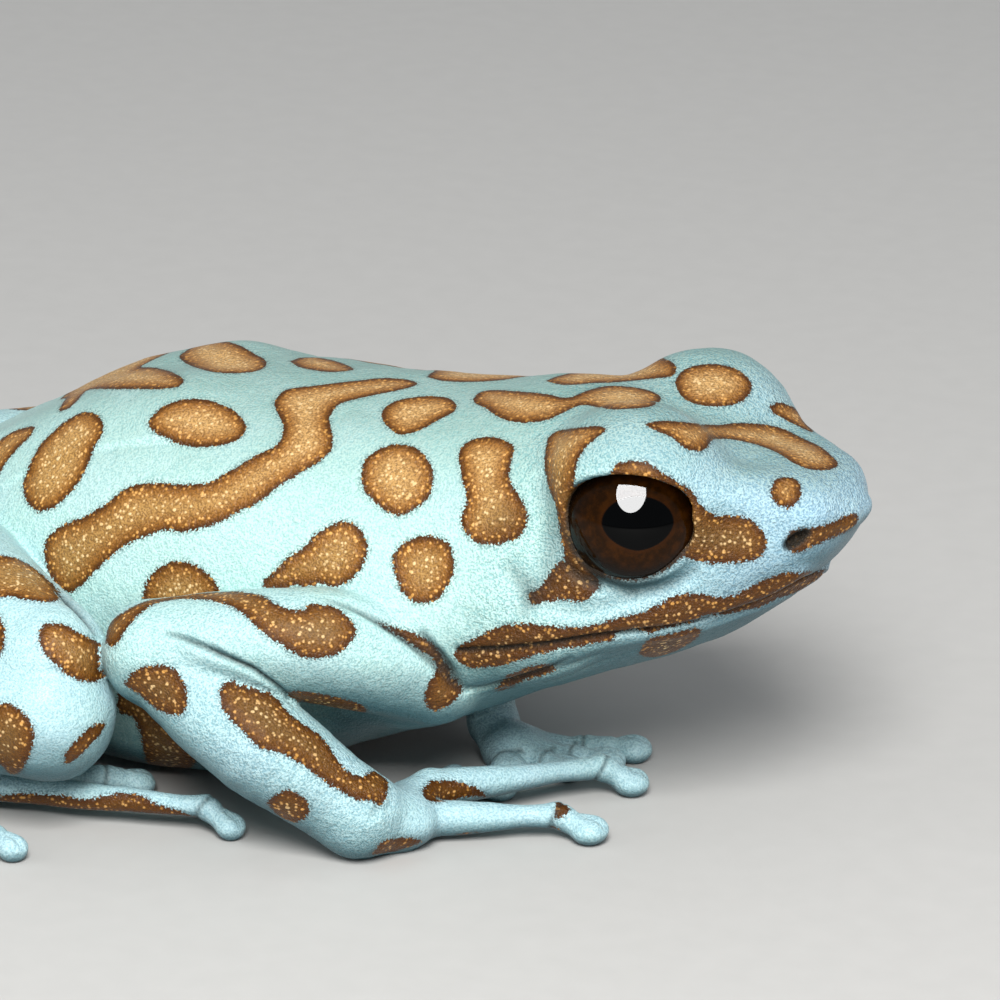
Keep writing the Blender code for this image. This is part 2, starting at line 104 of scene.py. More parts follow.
# %% Sections of the trunk and head
# Each row: place along the body, half width, height of the back, height of the widest
# level, height of the belly or throat, squareness of the upper and of the lower half.
SECTIONS = np.array((
    (-18.6, 0.7, 5.7, 5.0, 4.3, 2.0, 2.0),
    (-17.4, 2.5, 7.0, 4.7, 2.9, 2.0, 2.0),
    (-14.5, 4.3, 8.2, 4.7, 1.5, 2.0, 2.2),
    (-11.0, 5.7, 10.4, 4.9, 0.5, 2.0, 2.8),
    (-7.8, 6.6, 12.2, 5.1, 0.05, 2.05, 3.5),
    (-5.2, 7.0, 12.85, 5.3, -0.05, 2.1, 3.8),
    (-1.5, 7.1, 13.3, 5.6, 0.2, 2.1, 3.6),
    (2.5, 6.7, 13.45, 6.0, 1.5, 2.1, 2.6),
    (6.0, 6.1, 13.75, 6.8, 2.7, 2.15, 2.0),
    (8.5, 5.9, 14.15, 7.4, 3.9, 2.25, 2.0),
    (11.0, 5.5, 14.1, 8.1, 5.0, 2.35, 2.0),
    (13.3, 4.8, 13.55, 8.8, 6.0, 2.4, 2.0),
    (15.3, 3.9, 13.0, 9.5, 7.15, 2.4, 2.0),
    (16.9, 3.0, 12.8, 10.2, 8.4, 2.3, 2.0),
    (18.0, 2.15, 12.4, 10.9, 9.65, 2.2, 2.0),
    (18.6, 1.35, 12.0, 11.1, 10.35, 2.0, 2.0),
))
EYE_CENTRE = (12.2, 3.5, 11.3)        # of the left eye; the right one is its mirror image
EYE_RADIUS = 2.35
LID_CENTRE, LID_RADII = (12.1, 3.0, 12.05), (3.05, 2.85, 2.75)
# The two overlapping balls that open the lids: centre, radii and how far the front is lifted.
OPENINGS = (((12.66, 5.7, 12.0), (2.11, 3.0, 1.27), math.radians(2.5)),
            ((12.8, 5.7, 11.35), (2.0, 3.0, 1.1), 0.0))
CHEEK_CENTRE, CHEEK_RADII = (8.4, 4.5, 7.4), (2.4, 1.5, 1.9)
SHOULDER_CENTRE, SHOULDER_RADII = (4.6, 4.4, 6.2), (3.0, 2.2, 2.9)
BROW_RIDGE = ((14.6, 2.9, 12.2), (17.1, 1.5, 11.7))
BROW_RIDGE_RADII = (0.95, 0.7)
HIP_RIDGE = ((-4.5, 2.0, 11.5), (-16.0, 1.5, 6.4))
HIP_RIDGE_RADII = (1.0, 0.9)
MOUTH = ((7.2, 6.75), (10.4, 7.45), (12.2, 7.8), (14.7, 8.2), (16.6, 8.8), (17.3, 9.2))
MOUTH_FRONT, MOUTH_STEPS = (0.3, 0.1), 14     # its middle is this far ahead and up
# Upper and lower lip: radius, radius at the snout, how far in it lies and above the mouth.
LIPS = ((0.5, 0.2, 0.36, 0.42), (0.34, 0.05, 0.289, -0.32))
LIP_BLEND = 0.35
NOSTRIL = (17.5, 10.93)               # place along the body and height
NOSTRIL_RADII = (0.46, 0.42, 0.17)    # a slit along the snout
NOSTRIL_HEADING, NOSTRIL_LEAN = math.radians(38.0), math.radians(32.0)

# %% Joints of the limbs
ARMS = {
    "right": {
        "shoulder": (5.6, -4.7, 5.5), "upper": (2.4, -7.4, 6.65), "elbow": (-2.3, -9.1, 6.2),
        "fore": (1.5, -9.3, 3.7), "wrist": (4.6, -8.4, 1.45), "palm": (5.4, -7.1, 0.85),
    },
    "left": {
        "shoulder": (5.6, 4.7, 5.5), "upper": (2.6, 7.4, 6.3), "elbow": (-1.2, 9.3, 5.5),
        "fore": (1.6, 6.9, 3.4), "wrist": (5.0, 1.6, 1.05), "palm": (6.0, 0.9, 0.5),
    },
}
LEGS = {
    "right": {
        "hip": (-15.0, -3.4, 6.2), "thigh": (-10.8, -7.2, 6.2), "knee": (-5.9, -10.0, 5.7),
        "below": (-5.65, -10.6, 4.15), "calf": (-11.6, -10.4, 4.0), "heel": (-19.0, -7.4, 2.7),
        "tarsus": (-15.2, -9.4, 1.9), "sole": (-11.2, -10.2, 0.88),
    },
    "left": {
        "hip": (-15.0, 3.4, 5.8), "thigh": (-11.2, 7.3, 5.6), "knee": (-7.1, 10.3, 5.4),
        "below": (-7.2, 11.0, 3.9), "calf": (-12.2, 10.8, 3.9), "heel": (-19.3, 7.9, 2.7),
        "tarsus": (-15.6, 10.2, 1.9), "sole": (-11.6, 10.9, 0.88),
    },
}
# Root, joint and tip of each finger and toe, from the innermost out.
FINGERS = {
    "right": (
        ((4.9, -5.6, 0.9), (4.9, -3.6, 0.75), (5.3, -2.2, 0.38)),
        ((5.3, -5.4, 0.95), (6.0, -3.4, 0.8), (6.8, -2.1, 0.38)),
        ((5.6, -5.1, 1.2), (9.8, -0.5, 1.0), (10.75, -0.05, 0.42)),
        ((6.0, -6.5, 0.75), (9.95, -4.4, 0.76), (11.1, -4.4, 0.42)),
    ),
    "left": (
        ((6.0, 0.4, 0.5), (6.2, -0.2, 0.45), (6.5, -0.55, 0.38)),
        ((6.4, 0.7, 0.5), (7.4, 0.4, 0.45), (8.2, 0.3, 0.38)),
        ((6.5, 1.0, 0.5), (8.0, 1.2, 0.45), (9.2, 1.45, 0.38)),
        ((6.4, 1.4, 0.5), (8.0, 2.2, 0.45), (9.6, 2.8, 0.38)),
    ),
}
TOES = {
    "right": (
        ((-11.6, -9.3, 0.8), (-10.5, -8.2, 0.65), (-9.5, -7.6, 0.38)),
        ((-11.2, -9.5, 0.9), (-8.7, -7.9, 0.7), (-7.1, -6.8, 0.38)),
        ((-10.9, -9.8, 0.95), (-5.2, -7.5, 0.7), (-4.2, -6.7, 0.4)),
        ((-10.7, -10.6, 0.95), (-0.8, -8.7, 0.85), (0.2, -8.9, 0.42)),
        ((-11.0, -11.1, 0.85), (-6.9, -12.9, 0.75), (-5.5, -13.4, 0.4)),
    ),
    "left": (
        ((-12.0, 10.0, 0.8), (-11.0, 8.9, 0.65), (-10.0, 8.3, 0.38)),
        ((-11.6, 10.2, 0.9), (-9.1, 8.6, 0.7), (-7.5, 7.7, 0.38)),
        ((-11.3, 10.5, 0.95), (-6.3, 8.7, 0.75), (-4.0, 8.1, 0.38)),
        ((-11.1, 10.9, 0.95), (-2.3, 10.9, 0.8), (-0.5, 11.2, 0.38)),
        ((-11.4, 11.6, 0.85), (-8.2, 12.9, 0.7), (-6.1, 13.45, 0.38)),
    ),
}

# %% Thickness of the limbs
UPPER_ARM_RADII = (2.0, 1.9, 1.8)
FOREARM_RADII = {"right": (1.6, 1.8, 1.4), "left": (1.7, 1.4, 0.75)}
WRIST_RADII = {"right": (1.4, 0.95), "left": (0.75, 0.55)}
PALM_RADII = {"right": (1.35, 1.2, 0.95), "left": (1.05, 0.95, 0.58)}
THIGH_RADII = (2.8, 2.8, 2.05)
SHANK_RADII = (2.3, 2.35, 1.35)
TARSUS_RADII = (1.35, 1.2, 1.0)
WEB_RADII = (0.85, 0.62)                # from the palm or sole to a digit's root
DIGIT_RADII = (0.6, 0.37, 0.42, 0.4)    # at the root, before the joint, at it, before the tip
FINGER_DISC, TOE_DISC = (0.62, 0.66, 0.46), (0.5, 0.52, 0.44)
print("digits:", sum(len(rows) for side in (FINGERS, TOES) for rows in side.values()))

# %% [markdown]
# ## A field of distances
# Skin has no seams: the shoulder swells out of the chest and the thigh folds against the
# flank. Joined spheres and tubes would show where they meet, and a Boolean leaves a sharp
# line. So the body is first a field: each cell of a fine grid holds its distance to the
# skin, less than zero inside. Two forms join by their smaller distance, and a blend width
# says how softly: wide at the hips, almost nothing where a limb only lies on the flank.

# %% The grid
PITCH = 0.1                               # mm between two cells
GRID_LOW, GRID_HIGH = (-21.3, -15.3, -0.6), (19.6, 15.3, 15.3)
FAR = 9.0                                 # mm, a distance that no form reaches
MARGIN = 1.2                              # mm round a form in which it changes the field
axes = [np.arange(low, high, PITCH, dtype=np.float32) for low, high in zip(GRID_LOW, GRID_HIGH)]
field = np.full([len(axis) for axis in axes], FAR, np.float32)
part_at = np.zeros(field.shape, np.uint8)
LIMB_PARTS = ("upper_arm", "forearm", "hand", "thigh", "shank", "foot")
PARTS = ["trunk", "head"] + [f"{limb}_{side}" for side in SIDES
                             for limb in LIMB_PARTS]
print("cells:", field.size)


def window(low, high, margin):
    """The part of the grid within a margin of a box, and where its cells are."""
    cuts = []
    for axis, start, end in zip(axes, low, high):
        first = max(int((start - margin - axis[0]) / PITCH), 0)
        last = min(int((end + margin - axis[0]) / PITCH) + 2, len(axis))
        cuts.append(slice(first, max(last, first)))
    return tuple(cuts), np.meshgrid(*[axis[cut] for axis, cut in zip(axes, cuts)],
                                    indexing="ij", sparse=True)


def lower_of(first, second, blend):
    """The lower of two distances, with a soft step from one to the other."""
    share = np.clip(0.5 + 0.5 * (first - second) / blend, 0, 1)
    return first + (second - first) * share - blend * share * (1 - share)


def join(cuts, distance, blend, part):
    """Adds a form to the field, as softly as the blend width says."""
    part_at[cuts][distance < field[cuts]] = PARTS.index(part)
    field[cuts] = lower_of(field[cuts], distance, blend)


# %% [markdown]
# ## Forms for the field
# Three forms are enough for a frog: a chain of round cones for limbs, digits, ridges and
# lips, a ball with three radii for lids and toe pads, and the loft for the body. The path
# of a chain is a smooth curve through its joints, because a frog's limb bends in an arc.

# %% Chains and balls


def smooth_path(points, steps=8):
    """Points along a smooth curve through the given ones."""
    knots = [np.array(p, float) for p in points]
    knots = [2 * knots[0] - knots[1]] + knots + [2 * knots[-1] - knots[-2]]
    path = []
    for a, b, c, d in zip(knots, knots[1:], knots[2:], knots[3:]):
        for step in range(steps):
            t = step / steps
            path.append(0.5 * (2 * b + (c - a) * t + (2 * a - 5 * b + 4 * c - d) * t ** 2
                               + (3 * b - a - 3 * c + d) * t ** 3))
    path.append(knots[-2])
    return np.array(path)


def cone_distance(place, start, end, start_radius, end_radius):
    """Distance to a round cone between two points, in space or in the picture."""
    along = end - start
    share = sum((p - s) * a for p, s, a in zip(place, start, along))
    share = np.clip(share / max(along @ along, 1e-9), 0, 1)
    gap = sum((p - s - share * a) ** 2 for p, s, a in zip(place, start, along))
    return np.sqrt(gap) - (start_radius + (end_radius - start_radius) * share)


def chain(points, radii, blend, part):
    """Adds a limb: round cones along a smooth path, thick or thin as its radii say."""
    path = smooth_path(points)
    wide = np.interp(np.linspace(0, 1, len(path)), np.linspace(0, 1, len(radii)), radii)
    room = MARGIN + max(radii)
    cuts, place = window(path.min(0), path.max(0), room)
    nearest = np.full([cut.stop - cut.start for cut in cuts], FAR, np.float32)
    for start, end, a, b in zip(path, path[1:], wide, wide[1:]):
        inner, spots = window(np.minimum(start, end), np.maximum(start, end), room)
        local = tuple(slice(i.start - c.start, i.stop - c.start) for i, c in zip(inner, cuts))
        nearest[local] = np.minimum(nearest[local], cone_distance(spots, start, end, a, b))
    join(cuts, nearest, blend, part)


def ball_distance(place, centre, radii, heading=0.0, lean=0.0):
    """Distance to a ball with three radii, turned about the vertical, its front lifted."""
    x, y, z = [p - c for p, c in zip(place, centre)]
    c, s = math.cos(heading), math.sin(heading)
    x, y = c * x + s * y, c * y - s * x
    c, s = math.cos(lean), math.sin(lean)
    x, z = c * x + s * z, c * z - s * x
    far = np.sqrt((x / radii[0]) ** 2 + (y / radii[1]) ** 2 + (z / radii[2]) ** 2)
    steep = np.sqrt((x / radii[0] ** 2) ** 2 + (y / radii[1] ** 2) ** 2
                    + (z / radii[2] ** 2) ** 2)
    return (far * (far - 1) / np.maximum(steep, 1e-6)).astype(np.float32)


def ball(centre, radii, blend, part, heading=0.0):
    """Adds a ball with three radii."""
    cuts, place = window(centre, centre, MARGIN + max(radii))
    join(cuts, ball_distance(place, centre, radii, heading), blend, part)


def hollow(centre, radii, blend, heading, lean):
    """Takes a ball with three radii out of the field, with a rounded edge."""
    cuts, place = window(centre, centre, MARGIN + max(radii))
    ball_here = ball_distance(place, centre, radii, heading, lean)
    field[cuts] = -lower_of(-field[cuts], ball_here, blend)


def unit(vector):
    """The same direction with a length of one."""
    return vector / np.sqrt(vector @ vector)


def mirrored(point, side):
    """A point given for the left side, on the side that is asked for."""
    return (point[0], point[1] if side == "left" else -point[1], point[2])


# %% [markdown]
# ## The trunk and head
# The body is a loft over the sections: flat-backed at the head, round at the belly, and
# narrow at the vent. Its distance is the section's own measure divided by how fast that
# measure changes, which is close to true wherever the skin runs.

# %% The loft


def section_at(x):
    """Half width, back, widest level, belly and both squarenesses at places along the body."""
    rows = SECTIONS
    slopes = np.gradient(rows[:, 1:], rows[:, 0], axis=0)
    x = np.clip(x, rows[0, 0], rows[-1, 0])
    i = np.clip(np.searchsorted(rows[:, 0], x) - 1, 0, len(rows) - 2)
    span = rows[i + 1, 0] - rows[i, 0]
    t = ((x - rows[i, 0]) / span)[:, None]
    start = 2 * t ** 3 - 3 * t ** 2 + 1
    leave, arrive = t ** 3 - 2 * t ** 2 + t, t ** 3 - t ** 2
    return (start * rows[i, 1:] + (1 - start) * rows[i + 1, 1:]
            + span[:, None] * (leave * slopes[i] + arrive * slopes[i + 1]))


def half_width_at(x, z):
    """Half width of the body at a place along it and a height."""
    width, top, level, bottom, upper, lower = section_at(np.array([x]))[0]
    reach, power = (top - level, upper) if z > level else (level - bottom, lower)
    share = min(abs(z - level) / reach, 1.0)
    return width * (1 - share ** power) ** (1 / power)


def loft_distance():
    """Distance to the body's loft, over the whole grid."""
    width, top, level, bottom, upper, lower = [v.astype(np.float32)[:, None, None]
                                               for v in section_at(axes[0]).T]
    y, rise = np.abs(axes[1])[None, :, None], axes[2][None, None, :] - level
    reach = np.where(rise > 0, top - level, level - bottom)
    power = np.where(rise > 0, upper, lower)
    across, upward = y / width, np.abs(rise) / reach
    measure = (across ** power + upward ** power) ** (1 / power)
    measure = np.maximum(measure, 0.05)
    steep_y = measure ** (1 - power) * across ** (power - 1) / width
    steep_z = measure ** (1 - power) * upward ** (power - 1) / reach
    steep_x = np.gradient(measure, PITCH, axis=0)
    gap = (measure - 1) / np.sqrt(steep_x ** 2 + steep_y ** 2 + steep_z ** 2)
    return np.clip(gap, -FAR, FAR).astype(np.float32)


body = loft_distance()
END_BLEND = 1.0                            # how far the snout's tip and the vent round off
PAST_SNOUT, PAST_VENT = 0.25, 0.15         # mm of skin beyond the last sections
ends = np.maximum(axes[0] - SECTIONS[-1, 0] - PAST_SNOUT,
                  SECTIONS[0, 0] - PAST_VENT - axes[0])[:, None, None]
body = -lower_of(-body, -ends, END_BLEND)
NECK_TOP, NECK_BOTTOM = (8.3, 13.8), (6.5, 3.0)   # place along the body, and height
neck = NECK_BOTTOM[0] + (axes[2] - NECK_BOTTOM[1]) * (
    (NECK_TOP[0] - NECK_BOTTOM[0]) / (NECK_TOP[1] - NECK_BOTTOM[1]))
everywhere = tuple(slice(0, len(axis)) for axis in axes)
join(everywhere, body, 0.01, "trunk")
ahead_of_neck = axes[0][:, None, None] > neck[None, None, :]
part_at[np.broadcast_to(ahead_of_neck, part_at.shape)] = PARTS.index("head")
del body, ends, ahead_of_neck
print("body cells inside:", int((field < 0).sum()))

# %% [markdown]
# ## The head's own forms
# A dart frog's eyes stand out of the head in thick lids, a ridge runs from each eye to the
# snout, and the upper lip is a soft roll. Each is added with a wide blend, then the room
# between the lids and the nostrils are taken out.

# %% Lids, cheeks, ridges, lips, nostrils


def mouth_path(inward, rise):
    """The mouth's line, from the right corner round the snout to the left one."""
    places = np.array(MOUTH)
    side = []
    for x in np.linspace(places[0, 0], places[-1, 0], MOUTH_STEPS):
        z = np.interp(x, places[:, 0], places[:, 1]) + rise
        side.append((x, half_width_at(x, z) - inward, z))
    ahead, upward = MOUTH_FRONT
    front = (places[-1, 0] + ahead - inward, 0.0, places[-1, 1] + upward + rise)
    return [(x, -y, z) for x, y, z in side] + [front] + side[::-1]


def nostril_at(side):
    """Where a nostril is and which way its slit points."""
    x, z = NOSTRIL
    centre = mirrored((x, half_width_at(x, z), z), side)
    return centre, NOSTRIL_HEADING * (-1 if side == "left" else 1)


SOFT, SOFTER, SOFTEST = 0.7, 1.2, 2.2      # blend widths in mm
LID_EDGE, PIT_RIM = 0.3, 0.1               # how far the edge of an opening rounds off
for side in SIDES:
    ball(mirrored(LID_CENTRE, side), LID_RADII, SOFT, "head")
    ball(mirrored(CHEEK_CENTRE, side), CHEEK_RADII, SOFTER, "head")
    ball(mirrored(SHOULDER_CENTRE, side), SHOULDER_RADII, SOFTER, "trunk")
    chain([mirrored(p, side) for p in BROW_RIDGE], BROW_RIDGE_RADII, SOFT, "head")
    chain([mirrored(p, side) for p in HIP_RIDGE], HIP_RIDGE_RADII, SOFTEST, "trunk")
for full, in_front, inward, rise in LIPS:
    chain(mouth_path(inward, rise), (full, full, in_front, full, full), LIP_BLEND, "head")
for side in SIDES:
    for centre, radii, lean in OPENINGS:
        hollow(mirrored(centre, side), radii, LID_EDGE, 0.0, lean)
    centre, heading = nostril_at(side)
    hollow(centre, NOSTRIL_RADII, PIT_RIM, heading, NOSTRIL_LEAN)
print("head forms joined")

# %% [markdown]
# ## The limbs
# A sitting frog folds its limbs against itself. Arms and legs only press on what they lie
# on, so their blend is a tenth or two of a millimetre and a fold line stays. The hand grows
# out of the wrist, so it joins more softly. Each digit is thin before its joint, thick at
# it, and ends in a small pad.

# %% Arms, legs and digits
FOLD, THIGH_FOLD = 0.12, 0.2               # blend widths in mm where skin only touches skin,
KNIT, WEB = 0.5, 0.28                      # where the hand and the digits grow out,
DIGIT_KNIT, PAD_KNIT = 0.2, 0.15           # and where a digit's own pieces meet
NARROWING = 0.25                           # where a digit is thinnest, as a share from its joint


def digit(points, disc, part):
    """Adds a finger or toe."""
    root, joint, tip = [np.array(p, float) for p in points]
    before = joint + (root - joint) * NARROWING
    chain([root, before, joint], DIGIT_RADII[:3], DIGIT_KNIT, part)
    chain([joint, tip], (DIGIT_RADII[3],) * 2, DIGIT_KNIT, part)
    heading = math.atan2(tip[1] - joint[1], tip[0] - joint[0])
    ball(tip, disc, PAD_KNIT, part, heading)


for side in SIDES:
    arm, leg = ARMS[side], LEGS[side]
    chain([arm["shoulder"], arm["upper"], arm["elbow"]], UPPER_ARM_RADII, FOLD,
          "upper_arm_" + side)
    chain([arm["elbow"], arm["fore"], arm["wrist"]], FOREARM_RADII[side], FOLD,
          "forearm_" + side)
    chain([arm["wrist"], arm["palm"]], WRIST_RADII[side], KNIT, "hand_" + side)
    ball(arm["palm"], PALM_RADII[side], KNIT, "hand_" + side)
    for finger in FINGERS[side]:
        chain([arm["palm"], finger[0]], WEB_RADII, WEB, "hand_" + side)
        digit(finger, FINGER_DISC, "hand_" + side)
    chain([leg["hip"], leg["thigh"], leg["knee"]], THIGH_RADII, THIGH_FOLD, "thigh_" + side)
    chain([leg["below"], leg["calf"], leg["heel"]], SHANK_RADII, FOLD, "shank_" + side)
    chain([leg["heel"], leg["tarsus"], leg["sole"]], TARSUS_RADII, FOLD, "foot_" + side)
    for toe in TOES[side]:
        chain([leg["sole"], toe[0]], WEB_RADII, WEB, "foot_" + side)
        digit(toe, TOE_DISC, "foot_" + side)
field = np.maximum(field, -axes[2][None, None, :])
print("cells inside:", int((field < 0).sum()), "volume, mm3:",
      round(float((field < 0).sum()) * PITCH ** 3))

# %% [markdown]
# ## From the field to a mesh
# OpenVDB turns the zero level of the field into quads. They come out a little stepped, so
# each point then slides along the field's slope until it sits on the zero level itself.

# %% Surface points and quads
BAND = PITCH * 4


def field_at(points):
    """The field between its cells, and the number of the part that is nearest."""
    place = (points - np.array([axis[0] for axis in axes])) / PITCH
    place = np.clip(place, 0, np.array(field.shape) - 1.001)
    cell = place.astype(int)
    share = place - cell
    value = np.zeros(len(points))
    for i in (0, 1):
        for j in (0, 1):
            for k in (0, 1):
                weight = (np.abs(1 - i - share[:, 0]) * np.abs(1 - j - share[:, 1])
                          * np.abs(1 - k - share[:, 2]))
                value += weight * field[cell[:, 0] + i, cell[:, 1] + j, cell[:, 2] + k]
    nearest = np.rint(place).astype(int)
    return value, part_at[nearest[:, 0], nearest[:, 1], nearest[:, 2]]


def slope_at(points):
    """Direction in which the field grows."""
    step = PITCH * 0.75
    slope = np.stack([field_at(points + np.eye(3)[axis] * step)[0]
                      - field_at(points - np.eye(3)[axis] * step)[0] for axis in range(3)], 1)
    return slope / (2 * step)


grid = openvdb.FloatGrid(BAND)
grid.copyFromArray(np.clip(field, -BAND, BAND))
grid.transform = openvdb.createLinearTransform(voxelSize=PITCH)
grid.gridClass = openvdb.GridClass.LEVEL_SET
points, quads = grid.convertToQuads(0.0)
points = np.array(points, float) + np.array([axis[0] for axis in axes])
for turn in range(3):
    slope = slope_at(points)
    steep = np.maximum((slope ** 2).sum(1), 0.25)
    move = slope * (field_at(points)[0] / steep)[:, None]
    long = np.sqrt((move ** 2).sum(1)) / (PITCH * 0.5)
    points -= move / np.maximum(long, 1)[:, None]
part_of = field_at(points)[1]


def on_parts(*parts):
    """Which points of the skin belong to some of the parts."""
    return np.isin(part_of, [PARTS.index(p) for p in parts])


print("skin points:", len(points), "quads:", len(quads))

# %% [markdown]
# ## The mesh
# The mesh is filled in from the arrays in one go, which takes a blink where a loop over
# every corner would take minutes.

# %% Skin mesh


def mesh_from(name, points, quads):
    """A mesh object in the frog's frame, from points in millimetres and quads."""
    mesh = bpy.data.meshes.new(name)
    mesh.vertices.add(len(points))
    mesh.vertices.foreach_set("co", ((points + FROG_SHIFT) * MM).astype(np.float32).ravel())
    mesh.loops.add(quads.size)
    mesh.loops.foreach_set("vertex_index", quads.astype(np.int32).ravel())
    mesh.polygons.add(len(quads))
    mesh.polygons.foreach_set("loop_start", np.arange(0, quads.size, 4, dtype=np.int32))
    mesh.update(calc_edges=True)
    made = bpy.data.objects.new(name, mesh)
    bpy.context.scene.collection.objects.link(made)
    mesh.shade_smooth()
    return made


def normals_of(points, quads):
    """Direction of the skin at each point."""
    a, b, c, d = [points[quads[:, corner]] for corner in range(4)]
    across = np.cross(c - a, d - b)
    total = np.zeros_like(points)
    for corner in range(4):
        np.add.at(total, quads[:, corner], across)
    return total / np.maximum(np.sqrt((total ** 2).sum(1)), 1e-12)[:, None]


def write_on(made, name, values):
    """Gives a mesh one number for each of its points, for its material to read."""
    layer = made.data.attributes.new(name, "FLOAT", "POINT")
    layer.data.foreach_set("value", values.astype(np.float32))


normals = normals_of(points, quads)
if (normals * slope_at(points)).sum() < 0:
    quads = quads[:, ::-1]
    normals = -normals
print("lowest and highest point, mm:", points.min(0).round(2), points.max(0).round(2))

# %% [markdown]
# ## Folds and wrinkles
# The fine folds are what makes it skin. A sculptor would draw each with a brush; here a
# stroke is a path over the skin with a width and a depth in millimetres, and the points
# near it sink or rise along their normals, less towards the stroke's ends.

# %% Strokes


def evened(path):
    """The same path with its small steps smoothed out."""
    for turn in range(4):
        path[1:-1] = (path[:-2] + 2 * path[1:-1] + path[2:]) / 4
    return path


def tree_of(spots):
    """A tree that finds the nearest of many points."""
    tree = KDTree(len(spots))
    for index, spot in enumerate(spots):
        tree.insert(spot, index)
    tree.balance()
    return tree


def near_skin(path):
    """Moves a path's points onto the skin."""
    tree = tree_of(points)
    return evened(np.array([points[tree.find(p)[1]] for p in path]))


def path_distance(spots, path):
    """Distance to a path, and the share of its length where it is nearest."""
    best = np.full(len(spots), FAR)
    where = np.zeros(len(spots))
    steps = np.sqrt(((path[1:] - path[:-1]) ** 2).sum(1))
    done = np.concatenate([[0], np.cumsum(steps)]) / steps.sum()
    for i, (start, end) in enumerate(zip(path, path[1:])):
        along = end - start
        share = np.clip((spots - start) @ along / max(along @ along, 1e-9), 0, 1)
        gap = np.sqrt(((spots - start - share[:, None] * along) ** 2).sum(1))
        nearer = gap < best
        best = np.where(nearer, gap, best)
        where = np.where(nearer, done[i] + share * (done[i + 1] - done[i]), where)
    return best, where


NEARER = 16.0                             # square pixels that a millimetre nearer is worth


def seen_through(pixels, parts):
    """Points of the skin under pixels of the picture, on the side towards the camera."""
    chosen = np.flatnonzero(on_parts(*parts) & (normals @ view_back > 0))
    across, down = picture_place(points[chosen])
    hidden = -NEARER * (points[chosen] @ view_back)
    return np.array([points[chosen[np.argmin((across - u) ** 2 + (down - v) ** 2 + hidden)]]
                     for u, v in pixels])


# Parts, pixels of the picture, width and depth in mm; a depth below zero is a ridge.
PICTURE_STROKES = {
    "fold between flank and thigh": (("thigh_right", "trunk"),
                                     ((40, 565), (62, 590), (85, 618), (108, 642)), 0.3, 0.16),
    "crease in the elbow": (("upper_arm_right", "forearm_right"),
                            ((160, 632), (183, 638), (206, 648), (225, 657), (242, 665),
                             (258, 674), (272, 684), (284, 694), (296, 706)), 0.1, 0.24),
    "fold beside the elbow crease": (("upper_arm_right", "forearm_right"),
                                     ((170, 640), (192, 650), (212, 660), (228, 672)),
                                     0.2, -0.05),
    "thigh against the flank": (("thigh_right", "trunk"),
                                ((62, 590), (74, 604), (86, 618), (98, 634)), 0.12, 0.2),
    "fold down from the armpit": (("trunk", "upper_arm_right"),
                                  ((420, 632), (435, 650), (444, 662), (455, 678),
                                   (463, 690), (470, 694)), 0.16, 0.22),
    "fold of the throat": (("trunk", "head"), ((463, 690), (489, 691), (515, 682),
                                               (550, 670), (573, 656)), 0.16, 0.16),
    "soft fold behind the jaw": (("trunk", "head"), ((500, 560), (522, 582), (528, 606),
                                                     (516, 622)), 0.35, 0.12),
    "soft fold over the jaw": (("trunk", "head"), ((545, 606), (570, 612), (600, 606),
                                                   (640, 596)), 0.22, 0.08),
    "ridge of the lower lid": (("head",), ((590, 564), (605, 574), (635, 580), (665, 573),
                                           (688, 556)), 0.2, -0.2),
    "groove under the lower lid": (("head",), ((585, 574), (605, 588), (638, 593), (672, 585),
                                               (700, 568)), 0.24, 0.16),
    "crease behind the eye": (("head",), ((560, 560), (572, 572), (588, 582), (602, 590)),
                              0.22, 0.16),
    "fold over the ear": (("head", "trunk"), ((540, 470), (547, 510), (552, 545), (545, 580),
                                              (530, 610)), 0.5, 0.12),
    "edge of the upper arm": (("trunk", "upper_arm_right"),
                              ((322, 598), (350, 606), (392, 630), (425, 655), (446, 678),
                               (458, 698)), 0.16, 0.2),
    "throat wrinkle": (("trunk", "head"), ((470, 690), (510, 684), (560, 668), (610, 652)),
                       0.18, 0.08),
    "second throat wrinkle": (("trunk", "head"), ((480, 698), (530, 688), (590, 668),
                                                  (640, 650)), 0.16, 0.07),
    "wrist crease": (("forearm_right", "hand_right"), ((384, 795), (377, 808), (371, 822)),
                     0.16, 0.09),
    "second wrist crease": (("forearm_right", "hand_right"), ((392, 800), (386, 815)),
                            0.14, 0.06),
}
STROKE_REACH = 8.0                        # mm from a stroke's middle to its farthest point
sink = np.zeros(len(points))
for name, (parts, pixels, width, depth) in PICTURE_STROKES.items():
    path = evened(seen_through(smooth_path(pixels, 5), parts))
    close = np.flatnonzero((np.abs(points - path.mean(0)) < STROKE_REACH).all(1))
    gap, share = path_distance(points[close], path)
    taper = np.sqrt(np.clip(4 * share * (1 - share), 0, 1))
    sink[close] += depth * taper * np.exp(-(gap / width) ** 2)
MOUTH_WIDTH, MOUTH_DEPTH = 0.12, 0.24
mouth = near_skin(smooth_path(mouth_path(0.0, 0.0), 3))
close = np.flatnonzero(on_parts("head"))
gap, share = path_distance(points[close], mouth)
sink[close] += MOUTH_DEPTH * np.exp(-(gap / MOUTH_WIDTH) ** 2)
# Painted shade in the folds and along the mouth: the deeper a point sank, the darker its colour.
crease_shade = np.clip((sink - 0.03) / 0.2, 0, 1)      # dark from 0.03 mm deep, darkest at 0.23
PIT_EDGE = 0.08                           # mm over which a nostril's dark fades
# Painted shade inside each nostril pit.
for side in SIDES:
    centre, heading = nostril_at(side)
    gap = ball_distance(points.T, centre, NOSTRIL_RADII, heading, NOSTRIL_LEAN)
    crease_shade = np.maximum(crease_shade, np.clip(1.5 - gap / PIT_EDGE, 0, 1))
print("strokes:", len(PICTURE_STROKES), "deepest, mm:", round(sink.max(), 3))

